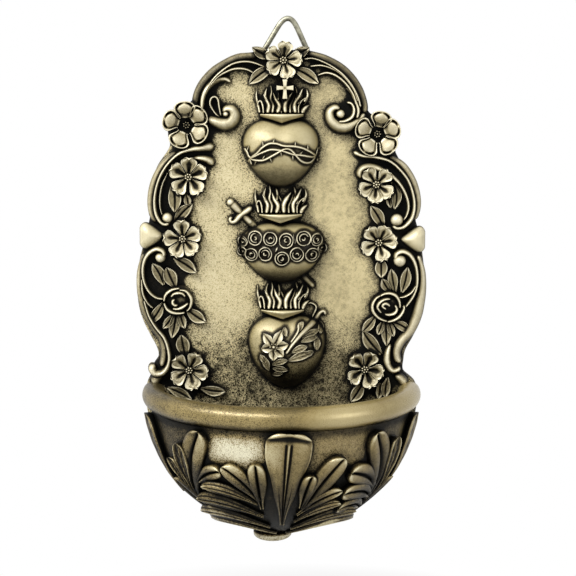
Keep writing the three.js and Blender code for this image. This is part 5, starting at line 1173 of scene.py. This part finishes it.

# Wear: where the dark wash stays on the castings, and where handling has rubbed it off; painted shade is
# added.
# Each height is set against the mean height round it: hollows and crowded ground come out low, and edges
# that face out high. Undersides are darkened as painted shade, and steep sides are darker too. Grit, the
# flecks in the paint, is most on the left and low down.
MAP_CELL = 0.3
MAP_MARGIN = 12.0
FOOT_BLUR = 0.45
NEAR_BLUR = 0.75
SOOT_BLUR = 2.2
WIDE_BLUR = 3.0
TALL = 3.0
RAISED = 1.5
GAP_REACH = 4.0
GAP_REACH_MIDDLE = 1.4
MIDDLE_HALF = 25.0
HEIGHT_RUB = 0.2
EDGE_RUB = 0.40
GROUND_EDGE_RUB = 0.22
WIDE_RUB = 0.12
GROUND_WEAR = 0.5
SHUT_WASH = 0.40
# Painted shade on undersides, and darkening of steep sides.
UNDERSIDE_SHADE = 0.15
SIDE_DARKENING = 0.26
SOOT_GRIT = 2.0
BACK_WEAR = 0.41


def vertices_of(piece, kind="co", scale=1000.0):
    """The piece's points in millimetres, or its normals."""
    flat = np.empty(len(piece.data.vertices) * 3)
    piece.data.vertices.foreach_get(kind, flat)
    return flat.reshape(-1, 3) * scale


def samples_of(piece):
    """The piece's triangles filled with points that lie closer than a map cell, in millimetres."""
    piece.data.calc_loop_triangles()
    corners = np.empty(len(piece.data.loop_triangles) * 3, np.int32)
    piece.data.loop_triangles.foreach_get("vertices", corners)
    a, b, c = vertices_of(piece)[corners.reshape(-1, 3)].transpose(1, 0, 2)
    longest = np.max([np.linalg.norm(side, axis=1) for side in (a - b, b - c, c - a)], axis=0)
    steps = np.clip(np.ceil(longest / MAP_CELL), 1, 12).astype(int)
    filled = []
    for count in np.unique(steps):
        f, g = np.meshgrid(np.arange(count + 1), np.arange(count + 1), indexing="ij")
        inside = f + g <= count
        f, g = f[inside][:, None] / count, g[inside][:, None] / count
        first, second, third = (corner[steps == count][:, None] for corner in (a, b, c))
        filled.append((first * (1 - f - g) + second * f + third * g).reshape(-1, 3))
    return np.concatenate(filled)


def mark(piece, name, value):
    """Writes one value for each point of a piece."""
    attribute = piece.data.attributes.new(name, "FLOAT", "POINT")
    attribute.data.foreach_set("value", value.astype(np.float32))


def between(surface, spot):
    """Reads a map between its cells, from the four round a spot by their shares."""
    first = np.floor(spot).astype(int)
    f, g = (spot - first).T
    i, j = first.T
    low = surface[i, j] * (1 - g) + surface[i, j + 1] * g
    return low * (1 - f) + (surface[i + 1, j] * (1 - g) + surface[i + 1, j + 1] * g) * f


def wear_and_painted_light(pieces, unroll, ground, body, tall, shade, grit):
    """Writes each piece's wear and grit. unroll gives two map places, a height and the way out. A map of
    cells keeps the greatest height; gaussian blurs of it give the mean heights near by and, with tall forms
    cut down, further off. Ground is shut in where raised cells, widened and then narrowed again, cover it.
    Wear is the body's value, or the ground's, plus a bounded share of each difference and of the height,
    less the shut-in ground and the steep sides, less painted shade on the undersides, plus the painted
    light, shade and tone that shade gives. Grit gathers round the raised forms, and the backs are plain."""
    maps = [unroll(samples_of(piece)) for piece in pieces]
    places = np.concatenate([place for place, _, _ in maps])
    heights = np.concatenate([height for _, height, _ in maps])
    origin = places.min(axis=0) - MAP_MARGIN
    size = np.ceil((places.max(axis=0) + MAP_MARGIN - origin) / MAP_CELL).astype(int) + 1
    cells = ((places - origin) / MAP_CELL).astype(int)
    relief = np.full(size, ground)
    np.maximum.at(relief, (cells[:, 0], cells[:, 1]), heights)
    waves = [np.fft.fftfreq(count, MAP_CELL) for count in size]
    squared = waves[0][:, None] ** 2 + waves[1][None, :] ** 2

    def mean_of(surface, sigma):
        """Gaussian blur of a map."""
        return np.real(np.fft.ifft2(np.fft.fft2(surface) * np.exp(-2 * np.pi**2 * sigma**2 * squared)))

    def widened(cells_on, reach):
        """Cells that lie within a reach of a cell that is on."""
        to_cell = [np.minimum(np.arange(count), count - np.arange(count)) * MAP_CELL for count in size]
        patch = to_cell[0][:, None] ** 2 + to_cell[1][None, :] ** 2 <= reach**2
        spread_on = np.fft.fft2(cells_on.astype(float)) * np.fft.fft2(patch.astype(float))
        return np.real(np.fft.ifft2(spread_on)) > 0.5

    def shut_in(reach):
        """Share of gap in the ground round a place, where gaps are what the raised cells close over."""
        covered = ~widened(~widened(raised, reach), reach)
        gap = mean_of((covered & ~raised).astype(float), FOOT_BLUR)
        clear = mean_of((~covered).astype(float), FOOT_BLUR)
        return gap / (gap + clear + 0.02)

    raised = relief > RAISED
    cut_down = np.minimum(relief, TALL)
    mean_near = mean_of(relief, NEAR_BLUR)
    low_foot = mean_of(cut_down, FOOT_BLUR)
    low_wide = mean_of(cut_down, WIDE_BLUR)
    soot = mean_of(raised.astype(float), SOOT_BLUR)
    column = np.abs(origin[0] + MAP_CELL * np.arange(size[0])) < MIDDLE_HALF
    shut = np.where(column[:, None], shut_in(GAP_REACH_MIDDLE), shut_in(GAP_REACH))
    for piece in pieces:
        points = vertices_of(piece)
        normals = vertices_of(piece, "normal", 1.0)
        place, height, outward = unroll(points)
        spot = (place - origin) / MAP_CELL - 0.5
        facing = np.clip(np.einsum("ij,ij->i", normals, outward), 0, 1)
        on_ground = 1 - smooth((height - 0.6) / 1.2)
        low = np.minimum(height, TALL)
        near = np.where(height < RAISED, low - between(low_foot, spot), height - between(mean_near, spot))
        near = np.maximum(near - 0.16, 0) * facing**2 + np.minimum(near + 0.06, 0)
        value = body + HEIGHT_RUB * (smooth((height - RAISED) / (tall - RAISED)) - 0.5)
        value += (GROUND_WEAR - value) * on_ground
        value += (EDGE_RUB + (GROUND_EDGE_RUB - EDGE_RUB) * on_ground) * np.tanh(near / 0.35)
        value += WIDE_RUB * np.minimum(np.tanh((low - between(low_wide, spot)) / 1.3), 0.15)
        value -= SHUT_WASH * between(shut, spot) * on_ground
        # Painted shade: undersides are darkened; steep sides of raised forms are darker too.
        value -= UNDERSIDE_SHADE * np.maximum(-normals[:, 2], 0)
        value -= SIDE_DARKENING * (1 - facing) ** 2 * (1 - on_ground)
        value += shade(points)
        flecked = grit(points) + SOOT_GRIT * between(soot, spot) * on_ground
        behind = smooth((-3 - height) / 2)
        mark(piece, "wear_and_painted_light", value + (BACK_WEAR - value) * behind)
        mark(piece, "grit", flecked * (1 - 0.7 * behind))


def flat_map(points):
    """The plate's face as it lies, with heights forward from it."""
    return points[:, [0, 2]], -points[:, 1] - PLATE_THICKNESS, np.array([[0.0, -1.0, 0.0]])


# Circle and height limit for the painted shade along the outside of the arch.
ARCH_CENTRE = [-1.0, 62.2]
ARCH_RADIUS = 43.4
ARCH_HEIGHT = 4.5


def flat_shade(points):
    """Darker ground low on the plate, low on its left and under the crest flower; painted light that makes
    the left side paler; painted shade on the hearts' lower sides and the lily heart's right side, a darker
    small cross, and painted shade along the outside of the arch."""
    x, height, z = points[:, 0], -points[:, 1] - PLATE_THICKNESS, points[:, 2]
    # Darker ground low on the plate, and low on its left.
    darker_low = -0.07 * np.exp(-(((z + 50) / 20) ** 2))
    darker_lower_left = -0.09 * np.exp(-(((x + 20) / 16) ** 2) - ((z + 36) / 14) ** 2)
    crest = -0.16 * np.exp(-(((x - 1) / 11) ** 2) - ((z - 90) / 5) ** 2)
    # Painted shade: the hearts' lower sides, and the lily heart's right side, are darkened.
    top_heart_shade = -0.14 * smooth((59 - z) / 9) * smooth((z - 40) / 2)
    cross = -0.26 * smooth((z - 79) / 3) * smooth((93 - z) / 3) * (np.abs(x - 1) < 7)
    middle_heart_shade = -0.26 * smooth((12 - z) / 8) * smooth((z + 2) / 2)
    bottom_heart_shade = -0.27 * smooth((-28 - z) / 14) - 0.1 * smooth((x - 6) / 10) * smooth((-12 - z) / 4)
    on_hearts = (np.abs(x) < 20) & (height > RAISED)
    # Painted light: the plate's face is made paler towards the left.
    painted_light_left = 0.12 * smooth((10 - x) / 40)
    # Painted shade: the low castings along the outside of the arch are darkened.
    from_arch = ARCH_RADIUS - np.hypot(x - ARCH_CENTRE[0], z - ARCH_CENTRE[1])
    arch = -0.15 * smooth((5 - from_arch) / 3.5) * smooth((z - 66) / 6) * (height < ARCH_HEIGHT)
    hearts = top_heart_shade + cross + middle_heart_shade + bottom_heart_shade
    face = (darker_low + darker_lower_left + crest + painted_light_left) * (height < RAISED)
    return np.where(on_hearts, hearts, face) + arch


def flat_grit(points):
    """Flecks are strongest on the left and towards the foot of the plate."""
    return 0.2 + 0.6 * smooth((20 - points[:, 0]) / 50) + 1.3 * smooth((-8 - points[:, 2]) / 35)


def round_map(points):
    """The bowl's skin unrolled: way round it, z, the distance from the skin, and the way out of it."""
    across = points[:, 0] / BOWL_HALF_WIDTH
    forward = np.maximum(-(points[:, 1] + PLATE_THICKNESS), 0) / BOWL_REACH
    angle = np.arctan2(across, forward)
    level = np.clip((BOWL_TOP - points[:, 2]) / BOWL_HEIGHT, 0, 0.985)
    off = BOWL_HALF_WIDTH * (np.hypot(across, forward) - bowl_share(level))
    outward = np.stack([np.sin(angle), -np.cos(angle), -0.8 * level**2], axis=1)
    outward /= np.linalg.norm(outward, axis=1, keepdims=True)
    return np.stack([angle * BOWL_HALF_WIDTH, points[:, 2]], axis=1), np.clip(off, -6, 6), outward


def round_shade(points):
    """A painted highlight left of the front leaf and a golden right side; painted shadow with wash under the
    rim, painted shade with wash towards the bowl's foot, and darker sides."""
    x, z = points[:, 0], points[:, 2]
    # Painted highlight: a pale patch left of the front leaf.
    patch = 0.46 * np.exp(-(((x + 19) / 15) ** 2) - ((z + 62) / 7.5) ** 2)
    # Painted shadow of the rim, with wash, just under it.
    rim_shadow_and_wash = 0.25 * np.exp(-(((z - BOWL_TOP + 1) / 2.5) ** 2))
    golden_right = 0.05 * smooth((x - 4) / 12)
    # Painted shade with wash towards the foot; the bowl is darker towards its sides.
    foot_shade_and_wash = 0.2 * smooth((-66 - z) / 34)
    to_sides = 0.1 * smooth((np.abs(x) - 30) / 18)
    return patch + golden_right - rim_shadow_and_wash - foot_shade_and_wash - to_sides


def round_grit(points):
    """Flecks are strongest on the left of the bowl and towards its foot."""
    return 0.4 + 0.6 * smooth((10 - points[:, 0]) / 35) + 0.5 * smooth((-74 - points[:, 2]) / 20)


def rim_wear_and_painted_light(points):
    """Bare bronze with a painted highlight on the right, a smudge at the middle, a paler right end and a
    darker left one, painted shade under the roll, and a darker top."""
    x, z = points[:, 0], points[:, 2]
    # Painted highlight: a pale stretch along the rim right of the middle.
    rubbed = 0.2 * np.exp(-(((x - 27) / 13) ** 2))
    smudge = 0.07 * np.exp(-(((x - 4) / 8) ** 2))
    ends = (0.03 + 0.11 * np.sign(x)) * smooth((np.abs(x) - 40) / 20)
    # Painted shade under the roll; the top is darker too.
    rim_underside_shade = 0.25 * smooth((RIM_Z - 1.5 - z) / 3.5)
    on_top = 0.08 * smooth((z - RIM_Z - 2) / 3)
    return 0.53 + rubbed + ends - smudge - rim_underside_shade - on_top


wear_and_painted_light(castings, flat_map, ground=-4.0, body=0.505, tall=5.5, shade=flat_shade, grit=flat_grit)
wear_and_painted_light(round_castings, round_map, ground=0.0, body=0.48, tall=4.0, shade=round_shade, grit=round_grit)
mark(rim, "wear_and_painted_light", rim_wear_and_painted_light(vertices_of(rim)))
mark(rim, "grit", round_grit(vertices_of(rim)))

# Floor, light and camera: a pale floor below the hanging stoup, in metres as all that follows.
# The light is soft and even, with a broad lamp from above left and a weak one from the right.
# The camera stands at the height and distance of the photograph.
FLOOR_Z = -0.19
FLOOR_HALF = 9.0
FLOOR_SHADE_FROM = 0.10
FLOOR_SHADE_TO = 0.22
floor_mesh = bpy.data.meshes.new("floor")
floor_plan = [(-1, -1), (1, -1), (1, 1), (-1, 1)]
floor_corners = [(FLOOR_HALF * x, FLOOR_HALF * y, FLOOR_Z) for x, y in floor_plan]
floor_mesh.from_pydata(floor_corners, [], [(0, 1, 2, 3)])
floor = bpy.data.objects.new("floor", floor_mesh)
bpy.context.scene.collection.objects.link(floor)


def seen(tree):
    """One for camera, glossy and transmission rays, and nothing for the rest."""
    path = tree.nodes.new("ShaderNodeLightPath")
    first = tree.nodes.new("ShaderNodeMath")
    first.operation = "MAXIMUM"
    tree.links.new(path.outputs["Is Camera Ray"], first.inputs[0])
    tree.links.new(path.outputs["Is Glossy Ray"], first.inputs[1])
    second = tree.nodes.new("ShaderNodeMath")
    second.operation = "MAXIMUM"
    tree.links.new(first.outputs["Value"], second.inputs[0])
    tree.links.new(path.outputs["Is Transmission Ray"], second.inputs[1])
    return second.outputs["Value"]


def mixed(tree, share, first, second, target):
    """Mixes two shaders by a share into a target."""
    mix = tree.nodes.new("ShaderNodeMixShader")
    tree.links.new(share, mix.inputs["Fac"])
    tree.links.new(first, mix.inputs[1])
    tree.links.new(second, mix.inputs[2])
    tree.links.new(mix.outputs["Shader"], target)


floor_paint = bpy.data.materials.new("pale floor")
floor_paint.use_nodes = True
tree = floor_paint.node_tree
matt = tree.nodes["Principled BSDF"]
matt.inputs["Base Color"].default_value = (0.85, 0.85, 0.84, 1)
matt.inputs["Roughness"].default_value = 0.9
place = tree.nodes.new("ShaderNodeTexCoord")
from_foot = tree.nodes.new("ShaderNodeVectorMath")
from_foot.operation = "DISTANCE"
from_foot.inputs[1].default_value = (0, -0.03, FLOOR_Z)
tree.links.new(place.outputs["Object"], from_foot.inputs[0])
beyond = tree.nodes.new("ShaderNodeMapRange")
beyond.inputs["From Min"].default_value = FLOOR_SHADE_FROM
beyond.inputs["From Max"].default_value = FLOOR_SHADE_TO
tree.links.new(from_foot.outputs["Value"], beyond.inputs["Value"])
white_share = tree.nodes.new("ShaderNodeMath")
white_share.operation = "MULTIPLY"
tree.links.new(seen(tree), white_share.inputs[0])
tree.links.new(beyond.outputs["Result"], white_share.inputs[1])
white = tree.nodes.new("ShaderNodeEmission")
mixed(tree, white_share.outputs["Value"], matt.outputs["BSDF"], white.outputs["Emission"],
      tree.nodes["Material Output"].inputs["Surface"])
floor_mesh.materials.append(floor_paint)

ROOM_STRENGTH = 0.26
world = bpy.data.worlds.new("soft room")
bpy.context.scene.world = world
world.use_nodes = True
tree = world.node_tree
room = tree.nodes["Background"]
room.inputs["Color"].default_value = (1, 1, 1, 1)
room.inputs["Strength"].default_value = ROOM_STRENGTH
white = tree.nodes.new("ShaderNodeBackground")
white.inputs["Color"].default_value = (1, 1, 1, 1)
white.inputs["Strength"].default_value = 1.0
mixed(tree, seen(tree), room.outputs["Background"], white.outputs["Background"],
      tree.nodes["World Output"].inputs["Surface"])


def lamp(name, place, aim, width, height, power):
    """A soft oblong lamp at a place, turned to a point."""
    light = bpy.data.lights.new(name, "AREA")
    light.shape = "RECTANGLE"
    light.size = width
    light.size_y = height
    light.energy = power
    holder = bpy.data.objects.new(name, light)
    holder.location = place
    holder.rotation_euler = (Vector(aim) - Vector(place)).to_track_quat("-Z", "Y").to_euler()
    bpy.context.scene.collection.objects.link(holder)


lamp("key lamp", (-0.55, -0.60, 0.72), (0, 0, 0), width=1.0, height=0.3, power=15.0)
lamp("side lamp", (0.8, -0.6, 0.2), (0, 0, 0), width=0.5, height=0.5, power=1.7)

CAMERA_PLACE = (0.0029, -0.659, 0.085)
CAMERA_PITCH = np.arctan(85.0 / 650.0)
PICTURE_SIDE = 576
FOCAL_PIXELS = 1479.5
SENSOR = 36.0
lens = bpy.data.cameras.new("camera")
lens.sensor_fit = "HORIZONTAL"
lens.sensor_width = SENSOR
lens.lens = FOCAL_PIXELS / PICTURE_SIDE * SENSOR
camera = bpy.data.objects.new("camera", lens)
camera.location = CAMERA_PLACE
camera.rotation_euler = (np.pi / 2 - CAMERA_PITCH, 0, 0)
bpy.context.scene.collection.objects.link(camera)
bpy.context.scene.camera = camera
bpy.context.scene.view_settings.view_transform = "Standard"
